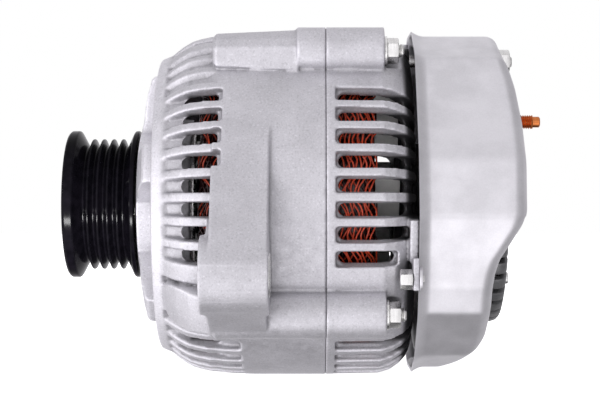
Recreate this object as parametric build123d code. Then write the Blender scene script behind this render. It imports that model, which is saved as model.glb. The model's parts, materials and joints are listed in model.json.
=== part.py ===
from build123d import *
import math
import os

# Belt-driven car alternator, twin internal fans, external rectifier and
# brush gear under a stamped rear cover.
#
# Millimetres.  +X runs along the shaft from the pulley to the rear cover,
# +Z is up, -Y is the side that carries the pivot ear.  The origin is on the
# shaft axis in the centre plane of the five-groove belt.

# --- driving dimensions ----------------------------------------------------
JOINT_X = 80.0          # parting plane of the two cast frames
BODY_R = 62.8           # outside radius of the cast frames
CORE_R = 57.5           # stator core outside radius
CORE_FIT_R = CORE_R + 0.05      # frame register around the core
CORE_X0, CORE_X1 = 48.0, 82.0   # laminated stack
CORE_BORE_R = 46.8
POLE_R = 46.2           # rotor outside radius
STUD_PITCH_R = 65.3     # through-stud circle
STUD_ANGLE = 55.0       # first stud, from -Y towards +Z
STUD_R = 2.5            # M5 stud
STUD_X0 = 46.0          # blind end of the stud holes
BOSS_R = 8.2            # stud boss radius
BOSS_X0 = 40.7          # front end of the stud bosses
BOSS_X1 = 100.3         # nut face of the stud bosses
M5_NUT_AF, M5_NUT_T = 8.0, 4.0  # across flats, thickness
WASHER_T = 1.1
WINDOW_PITCH = 7.83     # degrees
WINDOW_FIRST = 37.5     # first window of each quadrant, degrees
WINDOW_W = 4.5
EAR_Y, EAR_Z = -70.0, -23.2     # pivot ear axis
EAR_R = 13.2
EAR_X0, EAR_X1 = 38.3, 61.1
PIVOT_R = 5.25          # bore of the pivot bush, M10 clearance
BUSH_R = 7.5
LUG_Y, LUG_Z = 66.0, 34.0       # threaded adjusting lug axis
LUG_HOLE_R = 4.0        # M8 thread
LUG_X0, LUG_X1 = 24.0, 39.0
RIB_PITCH = 3.56        # poly-V groove pitch
PULLEY_R = 27.1
RIB_R = 24.1
GROOVE_R = 21.4
PULLEY_X1 = 11.6        # rear face of the pulley
PULLEY_NUT_SEAT_X = -3.9
NOSE_R = 7.0            # shaft under the pulley nut
SHAFT_R = 8.5           # 17 mm front journal
POLE_SEAT_R = 9.5       # shaft under the claw poles
REAR_JOURNAL_R = 7.5
TAIL_R = 4.2            # shaft under the slip rings
BEARING_X0, BEARING_X1, BEARING_R = 18.0, 32.0, 23.5    # front bearing
REAR_BEARING_X0, REAR_BEARING_X1, REAR_BEARING_R = 107.8, 118.8, 17.5
SLEEVE_R = 18.5         # sleeve around the rear bearing
RETAINER_X1 = 33.6      # rear face of the front bearing retainer
COVER_T = 1.2           # rear cover sheet
COVER_X0 = 111.2        # front edge of the rear cover
COVER_CORNER_R = 4.0
FLARE_LENGTH, FLARE_RISE = 3.0, 1.8     # flared lip along that edge
CAP_R = 43.5            # vent cap drum
CAP_T = 1.5
CAP_X = 143.8           # rear face of the vent cap
BATTERY_Y, BATTERY_Z = -20.0, 29.5      # battery stud axis
BATTERY_X1 = 157.0
FLANGE_BOLT_Y, FLANGE_BOLT_Z = -59.3, -25.2

# cover studs: y, z, front and rear face of the nut seat, seat radius
COVER_STUDS = [(3.0, 53.0, 141.0, 143.7, 6.4),
               (45.0, -29.2, 134.8, 137.0, 6.2)]

os.makedirs("parts", exist_ok=True)


# --- helpers ---------------------------------------------------------------
def turned(points):
    """Solid of revolution about X from closed (x, r) points."""
    face = make_face(Polyline(*[(x, 0, r) for x, r in points], close=True))
    return revolve(face, axis=Axis.X)


def cyl(r, x0, x1, y=0.0, z=0.0):
    """Cylinder along X."""
    return Pos((x0 + x1) / 2, y, z) * Rot(0, 90, 0) * Cylinder(r, x1 - x0)


def tube(outer_r, inner_r, x0, x1, y=0.0, z=0.0):
    """Tube along X."""
    return cyl(outer_r, x0, x1, y, z) - cyl(inner_r, x0 - 1, x1 + 1, y, z)


def block(x0, x1, y0, y1, z0, z1):
    """Box between two corners."""
    return Pos((x0 + x1) / 2, (y0 + y1) / 2, (z0 + z1) / 2) * Box(
        x1 - x0, y1 - y0, z1 - z0)


def at_angle(angle, solid):
    """Turn a feature modelled at -Y to an angle measured towards +Z."""
    return Rot(-angle, 0, 0) * solid


def polar(r, angle):
    """(y, z) at an angle in degrees from +Y towards +Z."""
    return r * math.cos(math.radians(angle)), r * math.sin(math.radians(angle))


def yz_face(points, x):
    """Face in the plane at x from a closed (y, z) outline."""
    return make_face(Polyline(*[(x, y, z) for y, z in points], close=True))


def xz_face(points, y):
    """Face in the plane at y from a closed (x, z) outline."""
    return make_face(Polyline(*[(x, y, z) for x, z in points], close=True))


def yz_prism(points, x0, x1):
    """Closed (y, z) outline extruded from x0 to x1."""
    return extrude(yz_face(points, x0), amount=x1 - x0, dir=(1, 0, 0))


def nut(flats, x0, x1, y, z, bore_r, turn=0.0):
    """Hexagon nut along X with both faces chamfered."""
    corner_r = flats / 2 / math.cos(math.radians(30))
    chamfer = 0.5
    depth = chamfer * 0.6
    barrel = turned([(x0, 0), (x0, corner_r - chamfer), (x0 + depth, corner_r),
                     (x1 - depth, corner_r), (x1, corner_r - chamfer), (x1, 0)])
    corners = [polar(corner_r, 60 * k + turn) for k in range(6)]
    hexagon = yz_prism([(y + dy, z + dz) for dy, dz in corners], x0, x1)
    return (hexagon & (Pos(0, y, z) * barrel)) - cyl(bore_r, x0 - 1, x1 + 1, y, z)


def sector(r0, r1, a0, a1, x0, x1):
    """Ring sector about X; angles from +Y towards +Z."""
    steps = max(2, int(abs(a1 - a0) / 12) + 1)
    wedge = [(0.0, 0.0)] + [polar(r1 * 1.6, a0 + (a1 - a0) * k / steps)
                            for k in range(steps + 1)]
    return tube(r1, r0, x0, x1) & yz_prism(wedge, x0 - 1, x1 + 1)


def radial_slot(x0, x1, width, r0, r1):
    """Round-ended slot cut along the radius at -Y."""
    half = width / 2
    body = block(x0 + half, x1 - half, -r1, -r0, -half, half)
    for x in (x0 + half, x1 - half):
        body += Pos(x, -(r0 + r1) / 2, 0) * Rot(90, 0, 0) * Cylinder(half, r1 - r0)
    return body


def channel(x0, x1):
    """Cooling channel with drafted sides, cut at -Y."""
    return yz_prism([(-46.0, -2.2), (-58.0, -2.3), (-66.0, -3.3), (-66.0, 3.3),
                     (-58.0, 2.3), (-46.0, 2.2)], x0, x1)


def write(name, shape):
    export_step(shape, "parts/" + name + ".step")


def save(name, shape):
    """Write a one-solid piece."""
    write(name, shape.solid())


def save_largest(name, shape):
    """Write only the largest solid of a shape."""
    write(name, shape.solids().sort_by(SortBy.VOLUME)[-1])


def save_group(name, solids):
    """Write several solids as one piece."""
    write(name, Compound(children=[s.solid() for s in solids]))


# Both frames have four studs, and eight windows in each quadrant.
STUD_ANGLES = [STUD_ANGLE - 90 * k for k in range(4)]
STUDS = [(-STUD_PITCH_R * math.cos(math.radians(a)),
          STUD_PITCH_R * math.sin(math.radians(a))) for a in STUD_ANGLES]
WINDOWS = [WINDOW_FIRST - WINDOW_PITCH * i - 90 * k for k in range(4) for i in range(8)]
RETAINER_SCREWS = [polar(27.4, 45 + 90 * k) for k in range(4)]

# --- front frame -----------------------------------------------------------
# (x, r), outside skin and then back along the inside
FRONT_PROFILE = [
    (12.6, 19.5), (12.6, 26.2), (13.4, 27.0), (20.2, 27.6),
    (20.2, 52.9), (20.6, 53.5), (24.2, 54.9), (25.8, 56.3), (28.3, 58.2),
    (31.4, 60.0), (34.6, 61.0), (38.4, 61.8), (46.0, 62.5), (54.0, BODY_R),
    (JOINT_X, BODY_R), (JOINT_X, CORE_FIT_R), (CORE_X0, CORE_FIT_R),
    (CORE_X0, 56.7), (45.8, 56.7), (45.0, 58.3), (38.0, 58.0), (33.5, 56.7),
    (29.5, 54.3), (26.5, 51.3), (24.6, 47.6), (24.0, 44.5), (24.0, 32.2),
    (BEARING_X1, 31.0), (BEARING_X1, BEARING_R), (BEARING_X0, BEARING_R),
    (BEARING_X0, 19.5)]
# (x, r) section that the spider arms are trimmed to
SPIDER_PROFILE = [
    (12.6, 19.5), (12.6, 27.0), (13.3, 30.5), (13.2, 33.0), (12.6, 37.0),
    (12.6, 41.5), (13.6, 46.0), (15.0, 47.2), (20.6, 47.6), (20.6, 25.0),
    (17.6, 25.0), (17.6, 19.5)]
# (x, r) envelope of the lobes ahead of the lower bosses
LOBE_PROFILE = [
    (24.0, 0), (24.0, 55.4), (26.0, 58.4), (29.0, 61.6), (33.5, 65.0),
    (40.7, 68.0), (44.0, 73.5), (60.0, 73.5), (60.0, 0)]
# (x, r) metal left under the channels
FRONT_FLOOR = [
    (10, 0), (10, 66.0), (23.9, 66.0), (23.9, 54.85), (28.3, 56.2),
    (31.4, 57.1), (38.4, 58.9), (46.0, 60.1), (60.0, 60.4), (60.0, 0)]
# (y, z) about the stud axis
BOSS_OUTLINE = [(-0.8, 6.0), (-4.4, 3.5), (-5.7, 0.7), (-5.2, -5.8),
                (5.2, -5.8), (5.7, 0.7), (4.4, 3.5), (0.8, 6.0)]
# (y, z)
EAR_ARM = [(-54.0, 31.0), (-57.9, 25.5), (-61.7, 18.6), (-67.5, 8.5), (-77.0, -8.0),
           (-82.4, -18.5), (-70.0, -30.0), (-54.0, -20.0)]
EAR_WEB = [(-54.0, 0.0), (-74.0, -9.0), (-80.0, -25.0), (-74.5, -35.5),
           (-60.0, -42.5), (-46.0, -46.0)]
LOBE_PITCH_R = 62.5
SPIDER_ARMS = 5
SPIDER_STEP = 360 / SPIDER_ARMS
SPIDER_TIP_R = 48.5
ARM_ROOT_HALF_W, ARM_TIP_HALF_W = 8.6, 7.0


def spider():
    """Raised five-armed spider on the front face."""
    section = turned(SPIDER_PROFILE)
    arms = cyl(27.3, 12, 21)
    root, tip = ARM_ROOT_HALF_W, ARM_TIP_HALF_W
    for k in range(SPIDER_ARMS):
        along_y, along_z = polar(1.0, 90 + SPIDER_STEP * k)
        side_y, side_z = -along_z, along_y
        tip_y, tip_z = SPIDER_TIP_R * along_y, SPIDER_TIP_R * along_z
        arms += yz_prism([(root * side_y, root * side_z),
                          (-root * side_y, -root * side_z),
                          (tip_y - tip * side_y, tip_z - tip * side_z),
                          (tip_y + tip * side_y, tip_z + tip * side_z)], 12, 21)
    return section & arms


def bevelled(scale0, scale1, x0, x1, y, z):
    """Eight-sided boss along X, scaled scale0 at x0 and scale1 at x1."""
    ends = [yz_face([(y + scale * dy, z + scale * dz) for dy, dz in BOSS_OUTLINE], x)
            for x, scale in ((x0, scale0), (x1, scale1))]
    return loft(ends, ruled=True)


def upper_boss(y, z):
    """Stud boss, bevelled at the front."""
    bevel_x = BOSS_X0 + 1.3
    boss = bevelled(1.0, 1.21, bevel_x, 70.5, y, z)
    boss += bevelled(0.78, 1.0, BOSS_X0, bevel_x, y, z)
    boss += cyl(BOSS_R, 70.0, JOINT_X, y, z)
    return boss


def lower_boss(y, z):
    """Stepped round stud boss with a lobe running forward."""
    boss = cyl(BOSS_R, BOSS_X0 + 1.4, JOINT_X, y, z)
    boss += cyl(BOSS_R - 1.2, BOSS_X0, BOSS_X0 + 1.5, y, z)
    boss += cyl(8.6, 24.0, 44.0, y * LOBE_PITCH_R / STUD_PITCH_R,
                z * LOBE_PITCH_R / STUD_PITCH_R) & turned(LOBE_PROFILE)
    return boss


def pivot_ear():
    """Pivot ear with its arm and lower web."""
    ear = cyl(EAR_R, EAR_X0, EAR_X1, EAR_Y, EAR_Z)
    ear += yz_prism(EAR_ARM, EAR_X0 + 3.2, EAR_X1 - 0.2)
    ear += yz_prism(EAR_WEB, EAR_X0 + 2.0, EAR_X1 - 1.0)
    return ear - cyl(58.5, 30, 81)


def adjusting_lug():
    """Adjusting lug on the +Y side."""
    lug = cyl(9.0, LUG_X0, LUG_X1, LUG_Y, LUG_Z)
    lug += yz_prism([(LUG_Y - 2.5, LUG_Z + 8.4), (LUG_Y + 6.0, LUG_Z - 6.5),
                     (52.0, 8.0), (36.0, 44.0)], LUG_X0 + 1.5, LUG_X1)
    return lug - cyl(56.5, 20, 81)


def front_frame():
    frame = turned(FRONT_PROFILE)
    frame += spider()
    # air inlets between the arms
    frame -= [sector(34.0, 46.0, 90 + SPIDER_STEP * k + 17, 90 + SPIDER_STEP * k + 55,
                     11.0, 25.0) for k in range(SPIDER_ARMS)]
    core_room = cyl(CORE_FIT_R, 30, 81)
    for i, (y, z) in enumerate(STUDS):
        boss = upper_boss(y, z) if i in (0, 3) else lower_boss(y, z)
        frame += boss - core_room
    frame += pivot_ear()
    frame += adjusting_lug()
    # cooling channels over the shoulder, longer in the second quadrant,
    # then the open windows
    floor = turned(FRONT_FLOOR)
    short_channel = channel(23.0, 44.6) - floor
    long_channel = channel(23.0, 50.2) - floor
    window = (block(33.2, 43.2, -66.0, -50.0, -WINDOW_W / 2, WINDOW_W / 2)
              + radial_slot(31.0, 42.0, WINDOW_W, 50.0, 66.0))
    frame -= [at_angle(a, long_channel if 8 <= i < 16 else short_channel)
              for i, a in enumerate(WINDOWS)]
    frame -= [at_angle(a, window) for a in WINDOWS]
    # bores
    frame -= [cyl(STUD_R, STUD_X0, JOINT_X + 1, y, z) for y, z in STUDS]
    frame -= cyl(BUSH_R, EAR_X0 - 1, EAR_X1 + 1, EAR_Y, EAR_Z)
    frame -= cyl(LUG_HOLE_R, LUG_X0 - 1, LUG_X1 + 1, LUG_Y, LUG_Z)
    frame -= [cyl(1.75, 24.0, 33.0, y, z) for y, z in RETAINER_SCREWS]
    return frame


save("front_frame", front_frame())
save("pivot_bush", tube(BUSH_R, PIVOT_R, EAR_X0 - 0.4, EAR_X1 + 0.4, EAR_Y, EAR_Z))

# --- rear frame ------------------------------------------------------------
# (x, r), outside skin and then back along the inside
REAR_PROFILE = [
    (JOINT_X, CORE_FIT_R), (JOINT_X, BODY_R), (99.5, 62.4), (103.4, 61.2),
    (106.8, 58.9), (109.2, 56.3), (110.4, 53.6), (110.8, 51.0), (110.8, 22.6),
    (119.6, 22.0), (119.6, SLEEVE_R), (REAR_BEARING_X0, SLEEVE_R),
    (REAR_BEARING_X0, 13.5), (104.8, 13.5), (104.8, 22.5), (107.2, 23.5),
    (107.2, 47.5), (106.6, 51.0), (105.0, 54.4), (102.0, 56.8), (97.0, 58.5),
    (84.6, 58.7), (84.0, 56.3), (CORE_X1, 56.3), (CORE_X1, CORE_FIT_R)]
# (x, r) metal left under the channels
REAR_FLOOR = [
    (79, 0), (79, 60.4), (98.6, 60.2), (102.0, 59.2), (105.0, 57.2),
    (107.4, 54.6), (108.8, 52.0), (109.4, 48.6), (109.4, 0)]
PAD_ANGLES = [-12.0, 105.0, 225.0]
SHORT_WINDOW = 7        # the window beside the flange bolt lug
REAR_WINDOW_W = WINDOW_W - 0.1
COVER_STUD_X0 = 107.9


def rear_frame():
    frame = turned(REAR_PROFILE)
    for y, z in STUDS:
        frame += cyl(BOSS_R, JOINT_X, BOSS_X1, y, z) - cyl(57.6, 79, 112)
    # three pads that carry the rear cover, and the lug for the flange bolt
    pads = [at_angle(a, block(108.2, COVER_X0, -60.4, -50.0, -7.3, 7.3))
            for a in PAD_ANGLES]
    pads.append(block(109.0, COVER_X0, -61.6, -50.0, -29.0, -18.0))
    frame += pads
    # channels leave the pads standing, windows are cut through
    floor = turned(REAR_FLOOR)
    long_channel = channel(83.2, 114.0) - floor
    short_channel = channel(83.2, 104.0) - floor
    long_window = radial_slot(84.0, 106.8, REAR_WINDOW_W, 48.0, 66.0)
    short_window = radial_slot(84.0, 102.8, REAR_WINDOW_W, 48.0, 66.0)
    for i, a in enumerate(WINDOWS):
        frame -= at_angle(a, short_channel if i == SHORT_WINDOW else long_channel) - pads
    frame -= [at_angle(a, short_window if i == SHORT_WINDOW else long_window)
              for i, a in enumerate(WINDOWS)]
    # spot faces behind the stud bosses
    frame -= [cyl(6.1, BOSS_X1, 111.5, y, z) for y, z in STUDS]
    # air inlets in the end wall
    frame -= [sector(27.0, 44.5, 45 * k + 6, 45 * k + 39, 104.0, 112.0)
              for k in range(8)]
    frame -= [cyl(STUD_R + 0.3, JOINT_X - 1, BOSS_X1 + 1, y, z) for y, z in STUDS]
    frame -= cyl(1.7, 108, 113, FLANGE_BOLT_Y, FLANGE_BOLT_Z)
    # bosses and threads for the two cover studs
    frame += [cyl(5.0, 108.0, COVER_X0, y, z) for y, z, *_ in COVER_STUDS]
    frame -= [cyl(STUD_R, COVER_STUD_X0, 114.0, y, z) for y, z, *_ in COVER_STUDS]
    return frame


save("rear_frame", rear_frame())

# --- stator ----------------------------------------------------------------
CORE_SLOTS = 36
CORE_NOTCHES = 12
SLOT_STEP = 360 // CORE_SLOTS
# (x, r) end turns in front of and behind the core
FRONT_END_TURNS = [(34.0, 49.4), (35.4, 48.4), (CORE_X0 - 0.2, 48.2),
                   (CORE_X0 - 0.2, 55.4), (36.4, 55.8), (34.0, 54.4)]
REAR_END_TURNS = [(CORE_X1 + 0.2, 48.2), (96.4, 48.4), (97.8, 49.4),
                  (97.8, 54.4), (95.6, 55.8), (CORE_X1 + 0.2, 55.4)]


def in_slots(x_over, r0, r1, half_w):
    """One radial bar per core slot, longer than the core by x_over at each end."""
    return [at_angle(SLOT_STEP * k + 5, block(CORE_X0 - x_over, CORE_X1 + x_over,
                                              -r1, -r0, -half_w, half_w))
            for k in range(CORE_SLOTS)]


def stator_core():
    core = tube(CORE_R, CORE_BORE_R, CORE_X0, CORE_X1)
    core -= in_slots(1, 45.0, 53.6, 1.4)
    core -= [at_angle(360 // CORE_NOTCHES * k,
                      cyl(1.4, CORE_X0 - 1, CORE_X1 + 1, -CORE_R - 0.2, 0))
             for k in range(CORE_NOTCHES)]
    return core


def stator_winding():
    winding = turned(FRONT_END_TURNS)
    winding += turned(REAR_END_TURNS)
    winding += in_slots(1.5, 48.3, 53.4, 1.2)
    return winding


save("stator_core", stator_core())
save("stator_winding", stator_winding())

# --- through fasteners -----------------------------------------------------
STUD_NUT_X = BOSS_X1 + WASHER_T
save_group("through_studs", [cyl(STUD_R, STUD_X0 + 0.2, 107.3, y, z) for y, z in STUDS])
save_group("stud_washers", [tube(5.2, STUD_R + 0.15, BOSS_X1, STUD_NUT_X, y, z)
                            for y, z in STUDS])
save_group("stud_nuts", [nut(M5_NUT_AF, STUD_NUT_X, STUD_NUT_X + M5_NUT_T, y, z,
                             STUD_R, turn=90) for y, z in STUDS])


# --- bearings --------------------------------------------------------------
def save_bearing(end, x0, x1, pitch_r, ball_r, ball_count, outer_profile,
                 inner_r0, inner_r1, cage_half_t, cage_half_w):
    """Write the races, balls and cage of one ball bearing."""
    x_mid = (x0 + x1) / 2
    track = Pos(x_mid, 0, 0) * Rot(0, 90, 0) * Torus(pitch_r, ball_r + 0.06)
    inner_profile = [(x0, inner_r0), (x0, inner_r1), (x1, inner_r1), (x1, inner_r0)]
    save(end + "_bearing_outer_race", turned(outer_profile) - track)
    save(end + "_bearing_inner_race", turned(inner_profile) - track)

    def spheres(r):
        places = [polar(pitch_r, 360 * k / ball_count) for k in range(ball_count)]
        return [Pos(x_mid, y, z) * Sphere(r) for y, z in places]

    save_group(end + "_bearing_balls", spheres(ball_r))
    cage = tube(pitch_r + cage_half_t, pitch_r - cage_half_t,
                x_mid - cage_half_w, x_mid + cage_half_w)
    save(end + "_bearing_cage", cage - spheres(ball_r + 0.15))


save_bearing("front", BEARING_X0, BEARING_X1, pitch_r=16.0, ball_r=4.3, ball_count=7,
             outer_profile=[(BEARING_X0, 19.6), (BEARING_X0, BEARING_R - 0.3),
                            (BEARING_X0 + 0.6, BEARING_R),
                            (BEARING_X1 - 0.6, BEARING_R),
                            (BEARING_X1, BEARING_R - 0.3), (BEARING_X1, 19.6)],
             inner_r0=SHAFT_R, inner_r1=12.2, cage_half_t=1.6, cage_half_w=5.4)
save_bearing("rear", REAR_BEARING_X0, REAR_BEARING_X1,
             pitch_r=12.5, ball_r=3.0, ball_count=8,
             outer_profile=[(REAR_BEARING_X0, 14.9), (REAR_BEARING_X0, REAR_BEARING_R),
                            (REAR_BEARING_X1, REAR_BEARING_R), (REAR_BEARING_X1, 14.9)],
             inner_r0=REAR_JOURNAL_R, inner_r1=10.1, cage_half_t=1.2, cage_half_w=3.9)
save("rear_bearing_sleeve", tube(SLEEVE_R, REAR_BEARING_R,
                                 REAR_BEARING_X0 + 0.1, REAR_BEARING_X1 + 0.6))
save("front_bearing_retainer", tube(30.4, 20.2, BEARING_X1, RETAINER_X1)
     - [cyl(1.9, 31, 35, y, z) for y, z in RETAINER_SCREWS])


def retainer_screw(y, z):
    """Cross-slotted screw with its head behind the retainer."""
    screw = cyl(1.7, 24.5, RETAINER_X1 + 0.1, y, z)
    screw += cyl(3.2, RETAINER_X1, 35.0, y, z)
    for half_y, half_z in ((2.2, 0.4), (0.4, 2.2)):
        screw -= block(34.3, 35.5, y - half_y, y + half_y, z - half_z, z + half_z)
    return screw


save_group("retainer_screws", [retainer_screw(y, z) for y, z in RETAINER_SCREWS])

# --- shaft and pulley ------------------------------------------------------
# (x, r)
SHAFT_PROFILE = [
    (-13.6, 0), (-13.6, 6.2), (-12.8, NOSE_R), (-3.4, NOSE_R), (-3.4, SHAFT_R),
    (BEARING_X1, SHAFT_R), (BEARING_X1, 11.0), (42.8, 11.0), (42.8, POLE_SEAT_R),
    (91.2, POLE_SEAT_R), (REAR_BEARING_X0, POLE_SEAT_R),
    (REAR_BEARING_X0, REAR_JOURNAL_R), (119.5, REAR_JOURNAL_R), (119.5, TAIL_R),
    (139.4, TAIL_R), (140.0, 3.6), (140.0, 0)]
BELT_GROOVES = 5


def pulley():
    grooves = []
    for k in range(BELT_GROOVES):
        x_groove = (k - 2) * RIB_PITCH
        grooves += [(x_groove - 0.28, GROOVE_R), (x_groove + 0.28, GROOVE_R)]
        if k < BELT_GROOVES - 1:
            x_rib = x_groove + RIB_PITCH / 2
            grooves += [(x_rib - 0.26, RIB_R), (x_rib + 0.26, RIB_R)]
    return turned([(PULLEY_NUT_SEAT_X, SHAFT_R), (PULLEY_NUT_SEAT_X, 19.8),
                   (-12.6, 20.6), (-14.2, 22.0), (-14.2, 26.2), (-13.3, PULLEY_R),
                   (-10.8, PULLEY_R), (-10.4, PULLEY_R - 0.3)] + grooves
                  + [(9.9, PULLEY_R - 0.4), (10.3, PULLEY_R), (11.3, PULLEY_R),
                     (PULLEY_X1, PULLEY_R - 0.3), (PULLEY_X1, SHAFT_R)])


save("shaft", turned(SHAFT_PROFILE))
save("pulley", pulley())
save("pulley_nut", nut(22.0, -13.0, PULLEY_NUT_SEAT_X, 0, 0, NOSE_R))
save("bearing_collar", tube(12.6, SHAFT_R, PULLEY_X1, BEARING_X0))

# --- rotor -----------------------------------------------------------------
POLE_X0 = 44.0          # front face of the front pole piece
POLE_DISC_X1 = 55.0
POLE_TIP_X = 84.0
POLE_MID_X = 67.0       # where the two pole pieces meet
ROOT_HALF_W, TIP_HALF_W = 11.0, 5.0
# (x, z) of the finger that lies at -Y
FINGER = [(POLE_X0, -ROOT_HALF_W), (POLE_DISC_X1, -ROOT_HALF_W),
          (POLE_TIP_X, -TIP_HALF_W), (POLE_TIP_X, TIP_HALF_W),
          (POLE_DISC_X1, ROOT_HALF_W), (POLE_X0, ROOT_HALF_W)]
# slip rings: front and rear face of each
SLIP_RINGS = [(123.4, 129.6), (131.4, 137.6)]
SLIP_RING_R = 7.2


def claw_pole():
    """Six-fingered pole piece, fingers towards +X."""
    pole = cyl(31.0, POLE_X0, POLE_DISC_X1) + cyl(19.5, 54.0, POLE_MID_X)
    finger = extrude(xz_face(FINGER, -50.0), amount=12.6, dir=(0, 1, 0))
    root = block(POLE_X0, POLE_DISC_X1, -46.0, -24.0, -ROOT_HALF_W, ROOT_HALF_W)
    trim = turned([(POLE_X0, 0), (POLE_X0, POLE_R - 2.0), (POLE_X0 + 2.0, POLE_R),
                   (POLE_TIP_X, POLE_R), (POLE_TIP_X, 0)])
    for k in range(6):
        pole += at_angle(60 * k, finger & trim)
        pole += at_angle(60 * k, root & trim)
    return pole - cyl(POLE_SEAT_R, 40, 70)


def fan(x_plate, x_tip, blades, lean, length, turn=0.0):
    """Stamped fan: flat disc with its blades bent up on one side."""
    x0, x1 = sorted((x_plate, x_tip))
    side = 1 if x_tip > x_plate else -1
    out = tube(36.5, POLE_SEAT_R, *sorted((x_plate, x_plate + side * 1.2)))
    for k in range(blades):
        angle = 360.0 / blades * k + turn
        blade = Pos((x0 + x1) / 2, -38.6, 0) * Rot(lean, 0, 0) * Box(x1 - x0, length, 1.2)
        foot = Pos(x_plate + side * 0.6, -37.0, 0) * Rot(lean, 0, 0) * (
            Pos(0, 0, -2.6) * Box(1.2, length - 0.8, 6.4))
        out += at_angle(angle, blade)
        out += at_angle(angle, foot)
    return out & cyl(45.0, x0, x1)


save("front_claw_pole", claw_pole())
save("rear_claw_pole", Pos(2 * POLE_MID_X, 0, 0) * Rot(0, 180, 0)
     * (Rot(30, 0, 0) * claw_pole()))
save("coil_bobbin", turned([(55.2, 19.7), (55.2, 36.4), (56.2, 36.4), (56.2, 20.8),
                            (77.8, 20.8), (77.8, 36.4), (78.8, 36.4), (78.8, 19.7)]))
save("field_coil", turned([(56.4, 21.0), (56.4, 35.6), (57.4, 36.2), (76.6, 36.2),
                           (77.6, 35.6), (77.6, 21.0)]))
save("front_fan", fan(POLE_X0, 35.9, blades=10, lean=38, length=13.2))
save("rear_fan", fan(2 * POLE_MID_X - POLE_X0, 105.6, blades=9, lean=-50, length=17.0,
                     turn=12.0))
save("slip_ring_insulator",
     tube(6.0, TAIL_R, 120.4, 139.2) + tube(7.0, TAIL_R, 120.4, 122.4)
     + tube(6.9, TAIL_R, 130.0, 131.0))
save_group("slip_rings", [tube(SLIP_RING_R, 6.0, x0, x1) for x0, x1 in SLIP_RINGS])

# --- brush gear ------------------------------------------------------------
BRUSH_HALF_X, BRUSH_HALF_Y = 2.3, 3.3
BRUSH_GAP = 0.12        # brush to pocket wall
BRUSH_XS = [(x0 + x1) / 2 for x0, x1 in SLIP_RINGS]
SPRING_Z0, SPRING_Z1 = 21.45, 33.15
SPRING_TURNS, SPRING_R, SPRING_WIRE_R = 7.0, 1.75, 0.35


def brush_bar(x, gap, z0, z1):
    """Upright bar of the brush section, enlarged by gap all round."""
    half_x, half_y = BRUSH_HALF_X + gap, BRUSH_HALF_Y + gap
    return block(x - half_x, x + half_x, -half_y, half_y, z0, z1)


def brush_holder():
    holder = block(121.4, 140.2, -8.0, 8.0, 9.6, 35.4)
    for x in BRUSH_XS:
        holder -= brush_bar(x, BRUSH_GAP, 9.0, 33.6)
    # drilled side flanges
    holder += block(125.4, 138.0, -12.6, 12.6, 26.0, 30.0) - block(
        125.0, 138.5, -7.9, 7.9, 25.5, 30.5)
    for y in (-10.4, 10.4):
        holder -= Pos(131.0, y, 28.0) * Cylinder(1.3, 8)
    return holder


def brush_spring(x):
    height = SPRING_Z1 - SPRING_Z0
    path = Pos(x, 0, SPRING_Z0) * Helix(height / SPRING_TURNS, height, SPRING_R)
    wire = Plane(origin=path @ 0, z_dir=path % 0) * Circle(SPRING_WIRE_R)
    return sweep(wire, path=path)


save("brush_holder", brush_holder())
for x, name in zip(BRUSH_XS, ("inner", "outer")):
    save(name + "_brush", brush_bar(x, 0.0, SLIP_RING_R + 0.05, 21.0))
    save(name + "_brush_spring", brush_spring(x))

# --- rectifier and regulator ----------------------------------------------
NEG_ANGLES = [200.0, 240.0, 280.0]      # diodes in the negative plate
POS_ANGLES = [180.0, 220.0, 260.0]      # diodes in the positive plate
NEG_DIODES = [polar(38.0, a) for a in NEG_ANGLES]
POS_DIODES = [polar(38.0, a) for a in POS_ANGLES]
SPACERS = [polar(46.5, a) for a in (152.0, 300.0)]
DIODE_R = 6.1
SPACER_BORE_R = 1.8
NEG_X0, NEG_X1 = 113.2, 116.2
POS_X0, POS_X1 = 121.2, 124.2


def negative_heat_sink():
    plate = sector(26.0, 54.0, 140.0, 312.0, NEG_X0, NEG_X1)
    plate -= [cyl(DIODE_R, 112, 118, y, z) for y, z in NEG_DIODES]
    plate -= [cyl(SPACER_BORE_R, 112, 118, y, z) for y, z in SPACERS]
    return plate


def positive_heat_sink():
    """Finned plate behind the negative one."""
    plate = sector(26.0, 50.0, 112.0, 312.0, POS_X0, POS_X1)
    for k in range(16):
        plate += sector(44.5, 50.0, 146.0 + 10.2 * k, 148.6 + 10.2 * k,
                        POS_X1 - 0.1, 128.6)
    plate -= [cyl(DIODE_R, 120, 126, y, z) for y, z in POS_DIODES]
    plate -= [cyl(SPACER_BORE_R, 120, 130, y, z) for y, z in SPACERS]
    plate -= cyl(3.2, 120, 126, BATTERY_Y, BATTERY_Z)
    # leads of the negative diodes pass through
    return plate - [cyl(2.6, 120, 126, y, z) for y, z in NEG_DIODES]


def diode(x0, x1, y, z):
    """Diode can with its lead towards +X."""
    return cyl(DIODE_R, x0, x1, y, z) + cyl(0.8, x1 - 0.1, 129.0, y, z)


def rectifier_terminal_block():
    terminal = sector(29.0, 42.5, 172.0, 288.0, 125.2, 128.2)
    terminal -= [cyl(1.1, 124, 130, y, z) for y, z in NEG_DIODES + POS_DIODES]
    posts = [polar(33.0, a) for a in (190.0, 230.0, 270.0)]
    terminal += [block(128.1, 132.0, y - 1.6, y + 1.6, z - 1.6, z + 1.6)
                 for y, z in posts]
    return terminal


def voltage_regulator():
    """Box with five fins on its rear face."""
    regulator = block(120.4, 134.0, 19.0, 43.0, 3.0, 32.0)
    for k in range(5):
        regulator += block(133.9, 139.5, 20.4 + 4.9 * k, 22.2 + 4.9 * k, 4.5, 30.5)
    return regulator


SOCKET_X0, SOCKET_X1 = 120.6, 135.4
SOCKET_Z0, SOCKET_Z1 = 6.0, 26.0
SOCKET_WALL = 1.6


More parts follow.
